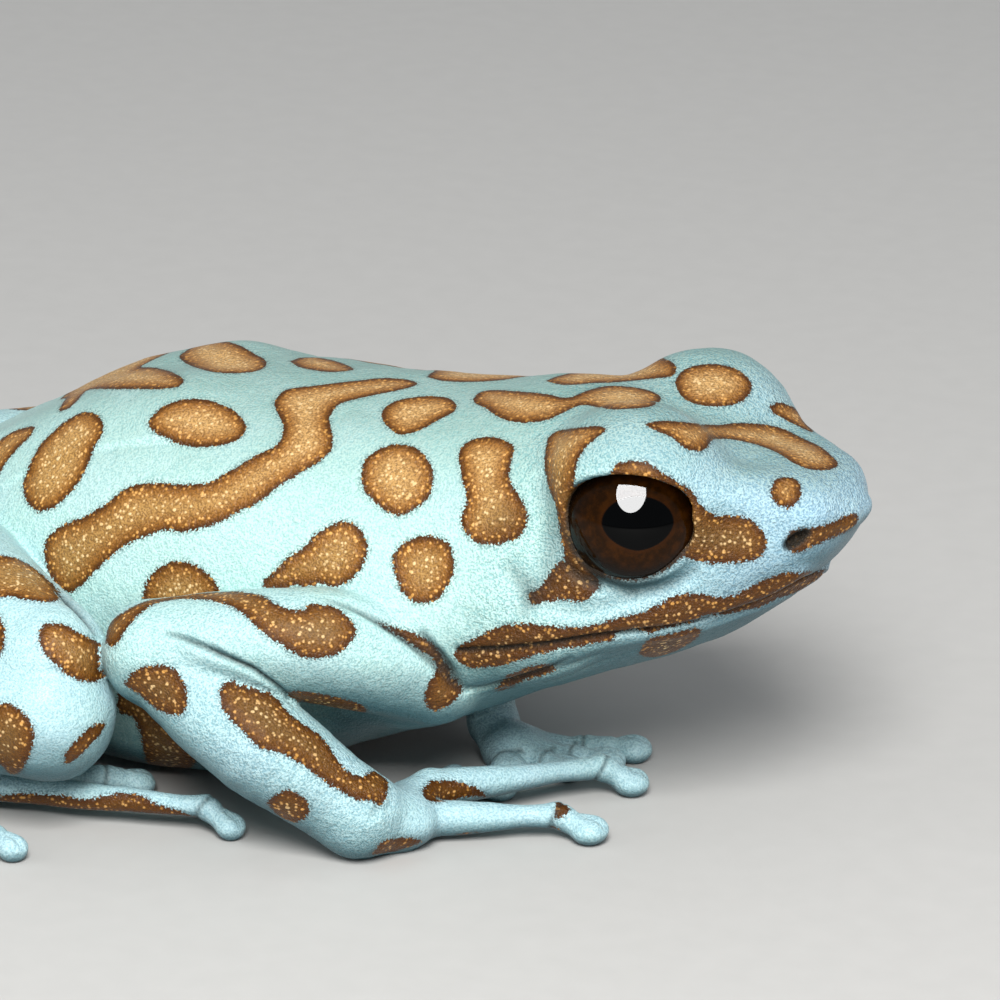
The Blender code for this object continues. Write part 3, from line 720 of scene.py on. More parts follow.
# %% [markdown]
# ## Joints and toe pads
# A thin ring crosses each digit at its last joint, and a groove parts the two small plates
# on top of each pad. Dart frogs have these plates, and they catch the light.

# %% Digits
DIGIT_REACH = 0.75                        # mm from a digit's axis to its farthest skin
RING_WIDTH, RING_DEPTH = 0.08, 0.05       # at the last joint
CUFF_WIDTH, CUFF_DEPTH, CUFF_PLACE = 0.1, 0.045, 0.6      # where the pad begins
GROOVE_WIDTH, GROOVE_DEPTH = 0.11, 0.1    # between the pad's two plates
for side in SIDES:
    for digits, owner in ((FINGERS, "hand_"), (TOES, "foot_")):
        own = on_parts(owner + side)
        for root, joint, tip in digits[side]:
            joint, tip = np.array(joint), np.array(tip)
            ahead = tip - joint
            long = math.sqrt(ahead @ ahead)
            ahead = ahead / long
            close = np.flatnonzero(own & (((points - (joint + tip) / 2) ** 2).sum(1)
                                          < (long / 2 + 1.2) ** 2))
            along = (points[close] - joint) @ ahead
            aside = ((points[close] - joint) ** 2).sum(1) - along ** 2
            close, along = close[aside < DIGIT_REACH ** 2], along[aside < DIGIT_REACH ** 2]
            sideways = (points[close] - joint) @ np.cross(ahead, (0, 0, 1))
            upward = np.clip(normals[close, 2] * 1.5, 0, 1)
            ring = np.exp(-(along / RING_WIDTH) ** 2)
            # Painted shade along the groove of the ring at the last joint.
            crease_shade[close] = np.maximum(crease_shade[close], 0.7 * ring)
            cuff = np.exp(-((along - long + CUFF_PLACE) / CUFF_WIDTH) ** 2)
            plates = np.clip((along - long + 0.45) / 0.2, 0, 1)
            groove = np.exp(-(sideways / GROOVE_WIDTH) ** 2) * plates
            sink[close] += (RING_DEPTH * ring + CUFF_DEPTH * cuff * upward
                            + GROOVE_DEPTH * groove * upward)
print("rings and plates cut")

# %% [markdown]
# ## Uneven skin
# Live skin is never a clean curve. Slow bumps a few millimetres apart, less than a tenth of
# a millimetre high, break up the highlights on the flank and the back. Smaller ones half a
# millimetre apart make it leathery.

# %% Slow bumps, and the finished skin
BUMPS = ((3.4, 0.09), (1.6, 0.045), (0.55, 0.016))        # spacing and height, mm
ON_FLOOR = 0.02                           # mm; what lies flat on the table stays flat


def bumps(spots, spacing):
    """A soft noise value for each point, about -1 to 1."""
    return np.array([noise.noise(Vector(p)) for p in spots / spacing])


for spacing, rise in BUMPS:
    sink += rise * bumps(points, spacing)
on_floor = points[:, 2] < ON_FLOOR
sink[on_floor] = 0
skin_points = points - normals * sink[:, None]
skin_points[:, 2] = np.maximum(skin_points[:, 2], 0)
normals = normals_of(skin_points, quads)
skin = mesh_from("skin", skin_points, quads)
print("skin quads:", len(skin.data.polygons))

# %% [markdown]
# ## Markings
# Bronze spots lie on a turquoise ground. They are part of the skin, so they are worked out
# on the skin: each spot the picture shows is an outline in its pixels, looked at through
# the camera, and only on the limb it belongs to. What the picture doesn't show gets spots
# of its own, as chains of round patches. Then every point learns how deep it lies inside a
# spot, or how far outside. That one number gives the material rims and ragged borders.

# %% Outlines of the spots in the picture
BARE_GAP = "bare gap in the lip band"
PICTURE_SPOTS = {
    "long band": (("trunk",), (
        (44, 554), (46, 541), (55, 530), (67, 523), (82, 518), (98, 509), (110, 501), (120, 492),
        (133, 486), (151, 483), (169, 484), (184, 485), (196, 484), (212, 481), (227, 473),
        (243, 463), (259, 454), (273, 448), (281, 438), (283, 426), (279, 416), (274, 404),
        (278, 396), (286, 390), (300, 387), (318, 385), (342, 382), (362, 380), (383, 378),
        (403, 379), (417, 383), (411, 387), (395, 391), (375, 395), (354, 400), (338, 405),
        (330, 416), (330, 426), (333, 438), (331, 450), (324, 458), (311, 467), (297, 475),
        (281, 485), (267, 496), (252, 507), (241, 511), (224, 521), (208, 526), (196, 529),
        (180, 532), (167, 530), (151, 535), (139, 539), (127, 545), (114, 554), (102, 564),
        (92, 575), (82, 585), (71, 593), (59, 588), (51, 577), (46, 564),
    )),
    "haunch spot": (("trunk",), (
        (38, 512), (26, 501), (23, 483), (31, 462), (41, 444), (55, 430), (69, 419), (84, 412),
        (96, 414), (103, 424), (102, 436), (94, 448), (88, 464), (81, 479), (70, 493), (55, 507),
    )),
    "rear band": (("trunk",), (
        (36, 426), (27, 427), (12, 432), (0, 440), (-12, 452), (-22, 471), (-18, 483), (-6, 481),
        (0, 473), (8, 460), (18, 448), (31, 436),
    )),
    "rump spot": (("trunk",), (
        (88, 389), (98, 382), (114, 375), (131, 369), (147, 367), (163, 369), (178, 375),
        (184, 381), (178, 387), (163, 389), (143, 389), (114, 389),
    )),
    "high flank spot": (("trunk",), (
        (147, 422), (159, 409), (176, 401), (196, 399), (216, 402), (233, 410), (244, 421),
        (246, 430), (237, 440), (220, 445), (200, 447), (180, 444), (163, 437), (151, 429),
    )),
    "spot behind the elbow": (("trunk",), (
        (143, 597), (146, 583), (157, 569), (173, 562), (190, 563), (204, 571), (214, 580),
        (219, 591), (216, 609), (200, 624), (180, 628), (159, 622), (147, 611),
    )),
    "teardrop": (("trunk",), (
        (263, 582), (277, 569), (289, 556), (305, 546), (316, 534), (330, 525), (344, 521),
        (356, 525), (364, 536), (368, 550), (362, 567), (350, 581), (336, 587), (322, 593),
        (301, 597), (281, 595), (267, 589),
    )),
    "small shoulder spot": (("trunk",), (
        (383, 409), (395, 401), (413, 397), (432, 396), (448, 398), (457, 405), (452, 413),
        (436, 421), (420, 430), (403, 435), (391, 430), (382, 419),
    )),
    "round spot": (("trunk",), (
        (361, 479), (364, 462), (375, 452), (387, 446), (401, 444), (416, 448), (427, 458),
        (433, 471), (433, 485), (427, 499), (413, 511), (399, 516), (383, 509), (371, 499),
        (363, 489),
    )),
    "low round spot": (("trunk",), (
        (393, 567), (394, 554), (403, 544), (418, 537), (434, 537), (446, 541), (453, 552),
        (455, 567), (450, 583), (440, 597), (424, 604), (409, 599), (399, 587),
    )),
    "waisted spot": (("head", "trunk"), (
        (459, 462), (460, 450), (469, 441), (485, 437), (501, 439), (514, 447), (511, 462),
        (509, 477), (516, 491), (525, 505), (528, 520), (522, 534), (507, 542), (489, 545),
        (473, 541), (463, 528), (462, 513), (467, 499), (463, 481),
    )),
    "nape band": (("head", "trunk"), (
        (473, 399), (481, 392), (497, 390), (526, 392), (546, 394), (566, 398), (577, 395),
        (589, 390), (607, 386), (630, 387), (651, 391), (661, 398), (653, 406), (630, 409),
        (607, 409), (584, 405), (568, 410), (548, 420), (529, 422), (524, 423), (503, 419),
        (485, 408), (475, 403),
    )),
    "brow band": (("head",), (
        (642, 424), (662, 421), (685, 422), (711, 425), (738, 423), (763, 424), (784, 429),
        (802, 438), (821, 447), (835, 459), (838, 465), (828, 470), (809, 469), (793, 463),
        (779, 454), (763, 447), (745, 442), (727, 439), (713, 440), (708, 447), (699, 452),
        (685, 448), (672, 438), (655, 430),
    )),
    "band behind the eye": (("head", "trunk"), (
        (548, 438), (557, 431), (575, 428), (596, 426), (607, 429), (596, 438), (584, 449),
        (577, 463), (575, 477), (574, 491), (573, 514), (577, 537), (582, 560), (596, 576),
        (599, 581), (584, 578), (568, 569), (564, 557), (561, 541), (559, 523), (556, 507),
        (550, 491), (545, 472), (545, 454),
    )),
    "patch before the eye": (("head",), (
        (610, 476), (616, 465), (630, 461), (649, 463), (662, 472), (678, 482), (692, 491),
        (701, 504), (715, 515), (734, 516), (750, 519), (761, 530), (767, 541), (763, 555),
        (750, 561), (731, 563), (711, 563), (694, 560), (681, 556), (658, 550), (658, 504),
        (649, 486),
    )),
    "ear patch": (("head", "trunk"), (
        (533, 604), (528, 594), (541, 586), (550, 573), (557, 564), (566, 561), (577, 569),
        (599, 581), (595, 593), (580, 602), (566, 599), (550, 601),
    )),
    "snout dot": (("head",), (
        (770, 492), (774, 480), (785, 477), (797, 480), (801, 492), (797, 503), (786, 508),
        (775, 503),
    )),
    "nostril band": (("head",), (
        (786, 541), (790, 532), (800, 529), (816, 527), (832, 522), (848, 514), (857, 515),
        (857, 523), (846, 532), (828, 540), (809, 548), (796, 553), (787, 548),
    )),
    "lip band": (("head", "trunk"), (
        (827, 568), (805, 572), (784, 573), (766, 579), (750, 587), (734, 595), (717, 597),
        (699, 594), (678, 595), (662, 602), (649, 609), (630, 615), (612, 619), (593, 625),
        (575, 627), (554, 626), (536, 624), (520, 623), (505, 625), (490, 630), (477, 637),
        (464, 643), (455, 652), (458, 662), (472, 668), (490, 667), (507, 665), (525, 658),
        (543, 653), (561, 649), (579, 647), (598, 643), (619, 639), (644, 635), (667, 628),
        (694, 622), (704, 615), (722, 615), (740, 611), (759, 607), (777, 599), (796, 592),
        (812, 583), (824, 575),
    )),
    "chin patch": (("head",), (
        (639, 653), (649, 639), (672, 633), (697, 628), (701, 633), (692, 642), (676, 651),
        (658, 657), (646, 658),
    )),
    "throat patch": (("head", "trunk"), (
        (496, 688), (505, 677), (520, 670), (538, 665), (553, 665), (555, 670), (541, 676),
        (523, 681), (510, 688), (497, 691),
    )),
    "armpit band": (("trunk", "upper_arm_right"), (
        (377, 622), (398, 628), (418, 634), (436, 647), (446, 662), (454, 675), (462, 688),
        (456, 699), (444, 708), (433, 711), (426, 703), (427, 688), (433, 677), (436, 667),
        (431, 657), (418, 649), (403, 639), (388, 631),
    )),
    "upper arm band": (("upper_arm_right",), (
        (106, 637), (108, 627), (114, 619), (127, 610), (143, 602), (163, 597), (184, 593),
        (208, 592), (231, 591), (249, 593), (265, 597), (276, 604), (290, 609), (306, 609),
        (306, 605), (320, 605), (337, 608), (349, 619), (356, 631), (349, 644), (337, 654),
        (319, 658), (298, 656), (280, 647), (300, 656), (286, 647), (271, 639), (259, 629),
        (247, 617), (231, 607), (212, 601), (192, 599), (171, 600), (155, 604), (143, 611),
        (133, 621), (124, 633), (118, 643), (111, 647), (106, 643),
    )),
    "low spot on the upper arm": (("upper_arm_right",), (
        (282, 693), (298, 691), (321, 694), (344, 699), (362, 705), (368, 713), (362, 721),
        (347, 723), (329, 719), (311, 711), (296, 702),
    )),
    "elbow spot": (("upper_arm_right", "forearm_right"), (
        (123, 684), (131, 674), (143, 667), (159, 665), (173, 668), (182, 678), (187, 694),
        (186, 707), (180, 715), (165, 713), (153, 707), (141, 696), (131, 689),
    )),
    "forearm band": (("forearm_right", "hand_right"), (
        (222, 686), (231, 678), (243, 674), (255, 677), (267, 688), (280, 702), (292, 716),
        (308, 727), (320, 736), (331, 749), (339, 762), (349, 772), (362, 776), (375, 770),
        (385, 777), (388, 787), (385, 800), (379, 807), (372, 801), (354, 799), (339, 790),
        (321, 779), (301, 764), (280, 754), (260, 748), (241, 731), (227, 715), (221, 702),
        (220, 694),
    )),
    "low spot on the forearm": (("forearm_right",), (
        (267, 802), (278, 793), (290, 790), (302, 796), (310, 807), (306, 817), (296, 822),
        (284, 819), (273, 811),
    )),
    "hand spot": (("hand_right",), (
        (422, 791), (430, 782), (446, 780), (464, 783), (479, 790), (488, 797), (474, 796),
        (459, 799), (441, 802), (427, 800),
    )),
    "heel of the hand": (("forearm_right", "hand_right"), (
        (372, 855), (380, 843), (395, 838), (413, 838), (421, 842), (405, 848), (388, 853),
    )),
    "finger joint": (("hand_right",), (
        (555, 818), (557, 802), (566, 805), (570, 810), (561, 818),
    )),
    "side of the outer finger": (("hand_right",), (
        (423, 844), (444, 838), (464, 833), (490, 832), (515, 833), (541, 829), (556, 827),
        (556, 834), (515, 843), (464, 848),
    )),
    "thigh spot": (("thigh_right",), (
        (0, 555), (16, 558), (31, 566), (45, 577), (57, 589), (60, 599), (45, 602), (27, 600),
        (10, 597), (0, 598), (-16, 595), (-24, 577), (-16, 560),
    )),
    "knee spot": (("thigh_right", "shank_right"), (
        (39, 639), (41, 628), (51, 623), (67, 626), (82, 634), (96, 641), (106, 649), (108, 666),
        (104, 678), (92, 682), (76, 679), (61, 670), (49, 658), (41, 647),
    )),
    "shank spot": (("thigh_right", "shank_right"), (
        (0, 703), (10, 703), (22, 711), (31, 723), (34, 737), (29, 756), (20, 772), (10, 774),
        (0, 764), (-12, 760), (-18, 739), (-12, 715),
    )),
    "lens under the knee": (("thigh_right", "shank_right"), (
        (65, 764), (65, 753), (76, 741), (88, 729), (100, 723), (106, 723), (100, 735), (90, 745),
        (80, 756), (70, 763),
    )),
    "outer thigh spot": (("thigh_right", "shank_right"), (
        (0, 616), (4, 627), (4, 643), (0, 657), (-12, 660), (-22, 647), (-22, 627), (-12, 617),
    )),
    "toe band": (("foot_right",), (
        (-41, 799), (0, 796), (20, 793), (41, 794), (67, 796), (86, 800), (102, 796), (122, 793),
        (143, 796), (151, 802), (173, 809), (190, 815), (202, 822), (184, 823), (163, 823),
        (122, 825), (82, 823), (41, 821), (0, 821), (-41, 821),
    )),
    "belly band": (("trunk",), (
        (118, 682), (131, 686), (143, 702), (159, 719), (176, 737), (188, 749), (196, 758),
        (190, 770), (173, 776), (157, 776), (147, 764), (143, 747), (139, 729), (131, 715),
        (118, 711),
    )),
    "midline spot": (("trunk",), (
        (179, 356), (190, 347), (208, 342), (224, 341), (241, 346), (255, 354), (266, 361),
        (263, 369), (245, 373), (220, 373), (200, 369), (184, 362),
    )),
    "far midline spot": (("trunk",), (
        (289, 361), (307, 356), (326, 359), (346, 364), (356, 370), (338, 372), (318, 371),
        (299, 367),
    )),
    "back spot": (("trunk",), (
        (427, 377), (436, 369), (456, 362), (485, 361), (509, 364), (525, 372), (520, 378),
        (501, 380), (475, 382), (444, 381),
    )),
    "nape spot": (("head", "trunk"), (
        (543, 381), (566, 374), (593, 369), (616, 364), (635, 360), (653, 356), (669, 360),
        (676, 367), (672, 376), (649, 379), (619, 382), (593, 383), (566, 385),
    )),
    "crown spot": (("head", "trunk"), (
        (674, 383), (681, 372), (694, 366), (715, 364), (734, 368), (747, 377), (752, 386),
        (747, 397), (734, 405), (713, 407), (692, 403), (680, 395),
    )),
    "far brow spot": (("head", "trunk"), (
        (769, 406), (779, 402), (793, 407), (807, 416), (821, 426), (829, 436), (816, 434),
        (800, 427), (784, 419), (773, 413),
    )),
    "rump edge spot": (("trunk",), (
        (58, 411), (65, 398), (77, 389), (84, 391), (77, 401), (66, 410),
    )),
    BARE_GAP: (("head",), (
        (614, 635), (621, 631), (635, 629), (649, 633), (635, 640), (619, 640),
    )),
}
print("spots in the picture:", len(PICTURE_SPOTS))

# %% Outside or inside an outline
OUTLINE_STEPS = 3                         # straight pieces between two points of an outline


def outline_distance(across, down, outline):
    """Distance in pixels to a closed outline, less than zero inside."""
    corners = smooth_path([*outline, outline[0]], OUTLINE_STEPS)
    best = np.full(len(across), np.inf)
    inside = np.zeros(len(across), bool)
    for start, end in zip(corners, corners[1:]):
        best = np.minimum(best, cone_distance((across, down), start, end, 0, 0))
        along = end - start
        crosses = (start[1] > down) != (end[1] > down)
        level = (down - start[1]) / (along[1] if along[1] else 1e-9)
        inside ^= crosses & (across < start[0] + along[0] * level)
    return np.where(inside, -best, best)


FAR_OUT = 3.0                             # mm, where no spot is near
TURN_AWAY = 2.0                           # mm added where the skin faces away altogether
REACH = 25                                # pixels round an outline in which it is looked for
across, down = picture_place(skin_points)
facing = normals @ view_back
marking = np.full(len(points), FAR_OUT)
bare = np.full(len(points), -FAR_OUT)
for name, (parts, outline) in PICTURE_SPOTS.items():
    left, top = np.min(outline, 0) - REACH
    right, bottom = np.max(outline, 0) + REACH
    chosen = np.flatnonzero(
        on_parts(*parts) & (facing > -0.6)
        & (across > left) & (across < right) & (down > top) & (down < bottom))
    gap = outline_distance(across[chosen], down[chosen], outline) / PIXELS_PER_MM
    gap += TURN_AWAY * np.clip(-facing[chosen], 0, 1)
    if name == BARE_GAP:
        bare[chosen] = np.maximum(bare[chosen], -gap)
    else:
        marking[chosen] = np.minimum(marking[chosen], gap)
print("points in the picture's spots:", int((marking < 0).sum()))

# %% [markdown]
# ## Spots that the picture doesn't show
# The far flank, the far limbs, the rump and the belly have markings of the same kind, and
# not a mirror image, because the two sides of one frog differ. A patch on the body is
# given by its place along the body, its angle round it (0 on the back, 90 on the left
# flank, 180 on the belly) and its radius.

# %% Patches on the body and limbs
BODY_PATCHES = {
    "left back band": ((5.5, 22, 1.0), (3.2, 26, 1.1), (0.8, 24, 1.0), (-1.4, 34, 1.2),
                       (-2.6, 46, 1.3), (-4.6, 52, 1.2), (-7.0, 54, 1.2), (-9.2, 62, 1.3)),
    "left shoulder spot": ((4.2, 58, 1.4), (3.2, 62, 1.3)),
    "left flank spot": ((0.2, 66, 1.2),),
    "left waist spot": ((-2.8, 82, 1.3), (-4.2, 80, 1.2)),
    "left neck spot": ((7.3, 52, 1.2), (7.1, 64, 1.1)),
    "left rear spot": ((-12.2, 40, 1.1), (-13.4, 52, 1.0)),
    "left vent spot": ((-16.2, 60, 0.8), (-15.2, 78, 0.8)),
    "middle of the rump": ((-8.2, 12, 1.2), (-9.8, 8, 1.0)),
    "over the vent": ((-14.6, 14, 0.8), (-15.8, 2, 0.9), (-16.6, -12, 0.7)),
    "low left flank": ((1.6, 100, 1.2), (0.2, 108, 1.0)),
    "behind the left ear": ((8.2, 82, 0.9), (7.4, 90, 1.0)),
    "first belly band": ((2.6, 168, 1.1), (0.4, 178, 1.2), (-1.6, 190, 1.1)),
    "second belly band": ((-6.0, 150, 1.0), (-7.6, 164, 1.1), (-8.6, 182, 1.2)),
    "third belly band": ((-12.6, 200, 0.9), (-13.4, 180, 1.0), (-14.2, 160, 0.8)),
    "throat band": ((9.2, 176, 0.8), (11.0, 184, 0.9), (12.6, 178, 0.8)),
    "left lip band": ((16.6, 118, 0.55), (14.6, 114, 0.62), (12.4, 112, 0.7),
                      (10.2, 112, 0.85), (8.4, 112, 0.95)),
}
# On the limbs each row is a chain of patches: the places of their middles and their radii.
LIMB_PATCHES = {
    "upper_arm_left": (((3.6, 7.6, 8.0, 0.9), (1.8, 8.2, 8.2, 1.0), (0.2, 9.4, 7.4, 0.9)),
                       ((1.6, 9.4, 5.6, 0.8),)),
    "forearm_left": (((0.6, 9.6, 4.6, 0.8), (2.0, 8.0, 3.4, 0.7)), ((-2.6, 10.2, 5.4, 0.8),)),
    "hand_left": (((4.6, 2.0, 1.8, 0.5),),),
    "thigh_left": (((-14.6, 5.6, 8.2, 1.1), (-12.6, 7.4, 8.2, 1.2)),
                   ((-17.4, 5.0, 6.4, 0.9), (-16.6, 6.0, 5.0, 0.8)),
                   ((-8.8, 9.6, 7.4, 1.1), (-7.8, 10.6, 7.0, 0.9)), ((-11.6, 9.8, 6.0, 0.8),)),
    "shank_left": (((-10.0, 13.0, 4.4, 1.0), (-12.0, 12.9, 4.2, 0.9)),
                   ((-15.8, 11.2, 4.4, 0.9), (-17.2, 10.2, 3.8, 0.8)), ((-7.0, 13.2, 3.4, 0.8),)),
    "foot_left": (((-8.0, 11.8, 1.4, 0.4), (-6.0, 11.7, 1.3, 0.4)), ((-12.6, 11.9, 1.4, 0.5),)),
    "thigh_right": (((-14.2, -5.4, 8.4, 1.1), (-12.8, -6.6, 8.6, 1.0)),),
    "shank_right": (((-12.4, -12.6, 4.4, 1.1), (-13.8, -12.2, 4.2, 0.9)),
                    ((-17.2, -9.8, 3.6, 0.9),)),
    "foot_right": (((-9.2, -12.6, 1.2, 0.35),),),
}


def on_body(x, angle):
    """A point on the loft at a place along the body and an angle round it."""
    width, top, level, bottom, upper, lower = section_at(np.array([x]))[0]
    turn = math.radians(angle)
    c, s = math.sin(turn), math.cos(turn)
    reach, power = (top - level, 2 / upper) if s > 0 else (level - bottom, 2 / lower)
    return (x, width * math.copysign(abs(c) ** power, c),
            level + reach * math.copysign(abs(s) ** power, s))


def add_patches(parts, rows):
    """Marks a chain of round patches on some parts of the skin."""
    chosen = np.flatnonzero(on_parts(*parts))
    rows = np.array(rows)
    for start, end in zip(rows, rows[1:] if len(rows) > 1 else rows):
        gap = cone_distance(skin_points[chosen].T, start[:3], end[:3], start[3], end[3])
        marking[chosen] = np.minimum(marking[chosen], gap)


for rows in BODY_PATCHES.values():
    add_patches(("trunk", "head"), [(*on_body(x, angle), wide) for x, angle, wide in rows])
for part, patches in LIMB_PATCHES.items():
    for rows in patches:
        add_patches((part,), rows)
print("patches:", len(BODY_PATCHES) + sum(len(p) for p in LIMB_PATCHES.values()))

# %% [markdown]
# Where the skin turns away from the camera, an outline runs out into sharp corners. Spots on
# a frog have none, so there the distances are evened out from point to point.

# %% Rounder corners where the picture ends
edges = np.empty(len(skin.data.edges) * 2, np.int32)
skin.data.edges.foreach_get("vertices", edges)
edges = edges.reshape(-1, 2)


def softened(values, rounds):
    """Values on the points, evened out over the skin."""
    shares = np.maximum(np.bincount(edges.ravel(), minlength=len(values)), 1)
    for turn in range(rounds):
        middle = (values[edges[:, 0]] + values[edges[:, 1]]) / 2
        values = np.bincount(edges.ravel(), np.repeat(middle, 2), len(values)) / shares
    return values


CORNER_ROUNDS, TINT_ROUNDS = 50, 80       # rounds of evening out from point to point
turned_away = np.clip((0.3 - facing) / 0.2, 0, 1)         # 1 where the camera hardly sees it
marking += (softened(marking, CORNER_ROUNDS) - marking) * turned_away
print("share of the skin turned away:", round(float(turned_away.mean()), 2))

# %% Bronze rims and painted shade round the eyes, then the depth inside a spot
EYE_RIM = 0.26                            # mm of bronze skin round the eyeball
LID_SHADE_LINE = 0.12                           # mm of painted shade where a lid meets the ball
for side in SIDES:
    away = skin_points - np.array(mirrored(EYE_CENTRE, side))
    gap = np.abs(np.sqrt((away ** 2).sum(1)) - EYE_RADIUS)
    rim = gap - EYE_RIM * np.clip(0.7 + 0.9 * away[:, 2] / EYE_RADIUS, 0.2, 1)
    outward = away[:, 1] * (1 if side == "left" else -1) > 0
    near_eye = on_parts("head") & outward
    marking[near_eye] = np.minimum(marking[near_eye], rim[near_eye])
    # Painted shade in the gap between a lid and its eyeball.
    lid_shade = 0.9 * np.clip(1.5 - gap[near_eye] / LID_SHADE_LINE, 0, 1)
    crease_shade[near_eye] = np.maximum(crease_shade[near_eye], lid_shade)
marking = np.maximum(marking, bare)
first, second = marking[edges[:, 0]], marking[edges[:, 1]]
border = (first < 0) != (second < 0)
share = (first[border] / (first[border] - second[border]))[:, None]
crossing = skin_points[edges[border, 0]] * (1 - share) + skin_points[edges[border, 1]] * share
tree = tree_of(crossing)
depth = np.array([tree.find(p)[2] for p in skin_points]) * np.where(marking < 0, 1, -1)
depth = np.clip(depth, -FAR_OUT, FAR_OUT)
print("border points:", len(crossing), "deepest inside, mm:", round(float(depth.max()), 2))

# %% [markdown]
# ## Where the skin is bluer or greener, and where light and shade are painted
# The back has a green tinge, partly painted shade where it faces up, and the snout, the hands and
# the feet are bluer. Spots get painted light where they face up, and the underside painted shade.
# These slow changes are numbers on the points too, softened over the skin so that no border
# shows.

# %% Tints
# How blue, how coarse and how pale in its spots the skin of each part is, 0 to 1.
TINTS = {"trunk": (0.0, 0.3, 1.0), "head": (0.0, 1.0, 1.0), "upper_arm": (0.15, 0.6, 0.45),
         "forearm": (0.45, 0.9, 0.3), "hand": (0.55, 0.4, 0.15), "thigh": (0.4, 0.35, 0.7),
         "shank": (0.5, 0.3, 0.5), "foot": (0.55, 0.4, 0.15)}
BLUE_FROM, BLUE_LENGTH = 9.0, 9.0         # place along the head where the blue starts, mm
LIT_SPOTS_FROM, LIT_SPOTS_HEIGHT = 9.8, 3.0         # height on the head where painted light on the spots starts, mm
blue, coarse, pale = np.array([TINTS[p.replace("_right", "").replace("_left", "")]
                               for p in PARTS])[part_of].T
along, height = skin_points[:, 0], skin_points[:, 2]
on_head = on_parts("head")
blue = np.where(on_head, np.clip((along - BLUE_FROM) / BLUE_LENGTH, 0, 1), blue)
# Painted light: spots are paler where the skin faces up, and on the head the higher they are.
pale = pale * np.clip(0.55 + 0.7 * normals[:, 2], 0, 1)
pale = np.where(on_head, pale * np.clip((height - LIT_SPOTS_FROM) / LIT_SPOTS_HEIGHT, 0, 1), pale)
blue, coarse, pale = [softened(values, TINT_ROUNDS) for values in (blue, coarse, pale)]
# The back's greener tint, partly painted shade: darker and greyer where the skin faces up high on
# the body.
green = np.clip(normals[:, 2] - 0.35, 0, 1) * np.clip((height - 8) / 5, 0, 1)
# A bluer underside, darkened further as painted shade where the skin faces down.
under = np.clip(0.26 - 1.1 * normals[:, 2], 0, 1)
ON_SKIN = {"spot_depth": depth, "blue_tint": blue, "green_tint_and_shade": green, "underside_tint_and_shade": under,
           "crease_shade": crease_shade, "coarse": coarse, "pale_and_lit_spots": pale}
for name, values in ON_SKIN.items():
    write_on(skin, name, values)
print("tints:", round(float(blue.mean()), 2), round(float(green.mean()), 2))

# %% [markdown]
# ## Shader maths as expressions
# A skin recipe reads best as arithmetic. The class below wraps a socket, so that plus,
# minus and times add Math nodes, also with a plain number on the left. Everything else
# comes from one method that takes a node's type, its settings and its sockets.

# %% A socket with arithmetic


class Reading:
    """A number that varies over a surface: a socket in a material's nodes."""

    def __init__(self, finish, socket):
        self.finish, self.socket = finish, socket

    def maths(self, operation, *values):
        """A Math node over some values."""
        return self.finish.node("ShaderNodeMath", {"operation": operation},
                                dict(enumerate(values)))

    def __add__(self, other):
        return self.maths("ADD", self, other)

    def __radd__(self, other):
        return self.maths("ADD", other, self)

    def __sub__(self, other):
        return self.maths("SUBTRACT", self, other)

    def __rsub__(self, other):
        return self.maths("SUBTRACT", other, self)

    def __mul__(self, other):
        return self.maths("MULTIPLY", self, other)

    def __rmul__(self, other):
        return self.maths("MULTIPLY", other, self)

    def step(self, start, end):
        """0 below start, 1 above end, and smooth between them."""
        return self.finish.node("ShaderNodeMapRange", {"interpolation_type": "SMOOTHSTEP"},
                                {"Value": self, "From Min": start, "From Max": end})


class Finish:
    """A material and the nodes that it is made of."""

    def __init__(self, name):
        self.material = bpy.data.materials.new(name)
        self.material.use_nodes = True
        self.tree = self.material.node_tree
        self.shader = self.tree.nodes["Principled BSDF"]

    def node(self, kind, settings=None, sockets=None, output=0):
        """A node: its type, then its settings, then values or links for its sockets."""
        made = self.tree.nodes.new(kind)
        for name, value in (settings or {}).items():
            setattr(made, name, value)
        self.fill(made, sockets or {})
        return Reading(self, made.outputs[output])

    def fill(self, made, sockets):
        """Sets or links a node's sockets, by name or number."""
        for name, value in sockets.items():
            if isinstance(value, Reading):
                self.tree.links.new(value.socket, made.inputs[name])
            elif isinstance(value, tuple) and made.inputs[name].type == "RGBA":
                made.inputs[name].default_value = (*value, 1.0)
            else:
                made.inputs[name].default_value = value

    def painted(self, name):
        """A number that the mesh holds for each point."""
        return self.node("ShaderNodeAttribute", {"attribute_name": name}, output="Fac")

    def mixed(self, share, first, second):
        """A colour between two colours."""
        return self.node("ShaderNodeMix", {"data_type": "RGBA"},
                         {"Factor": share, 6: first, 7: second}, output=2)

    def grain(self, place, scale, detail=2.0, roughness=0.5):
        """Noise, 0 to 1, with this many waves in a metre."""
        return self.node("ShaderNodeTexNoise", None,
                         {"Vector": place, "Scale": scale, "Detail": detail,
                          "Roughness": roughness})

    def cells(self, place, scale):
        """Distance to the nearest of many scattered points."""
        return self.node("ShaderNodeTexVoronoi", None, {"Vector": place, "Scale": scale})


def colour(red, green, blue):
    """A colour from its values on a screen, 0 to 255, as linear light."""
    return tuple((v / 255 / 12.92) if v <= 10 else ((v / 255 + 0.055) / 1.055) ** 2.4
                 for v in (red, green, blue))


print("white is", colour(255, 255, 255))

# %% [markdown]
# ## The skin's finish
# Close up, the turquoise is made of pale granules less than a tenth of a millimetre apart on
# a darker ground. A spot's bronze is darkest at its rim, lighter inside, and sprinkled with
# gold grains that sit a fifth of a millimetre apart. The border isn't a line: granules of
# the one colour reach into the other, so noise moves it before it is cut. The surface is
# moist, which is a thin coat over a rougher skin.

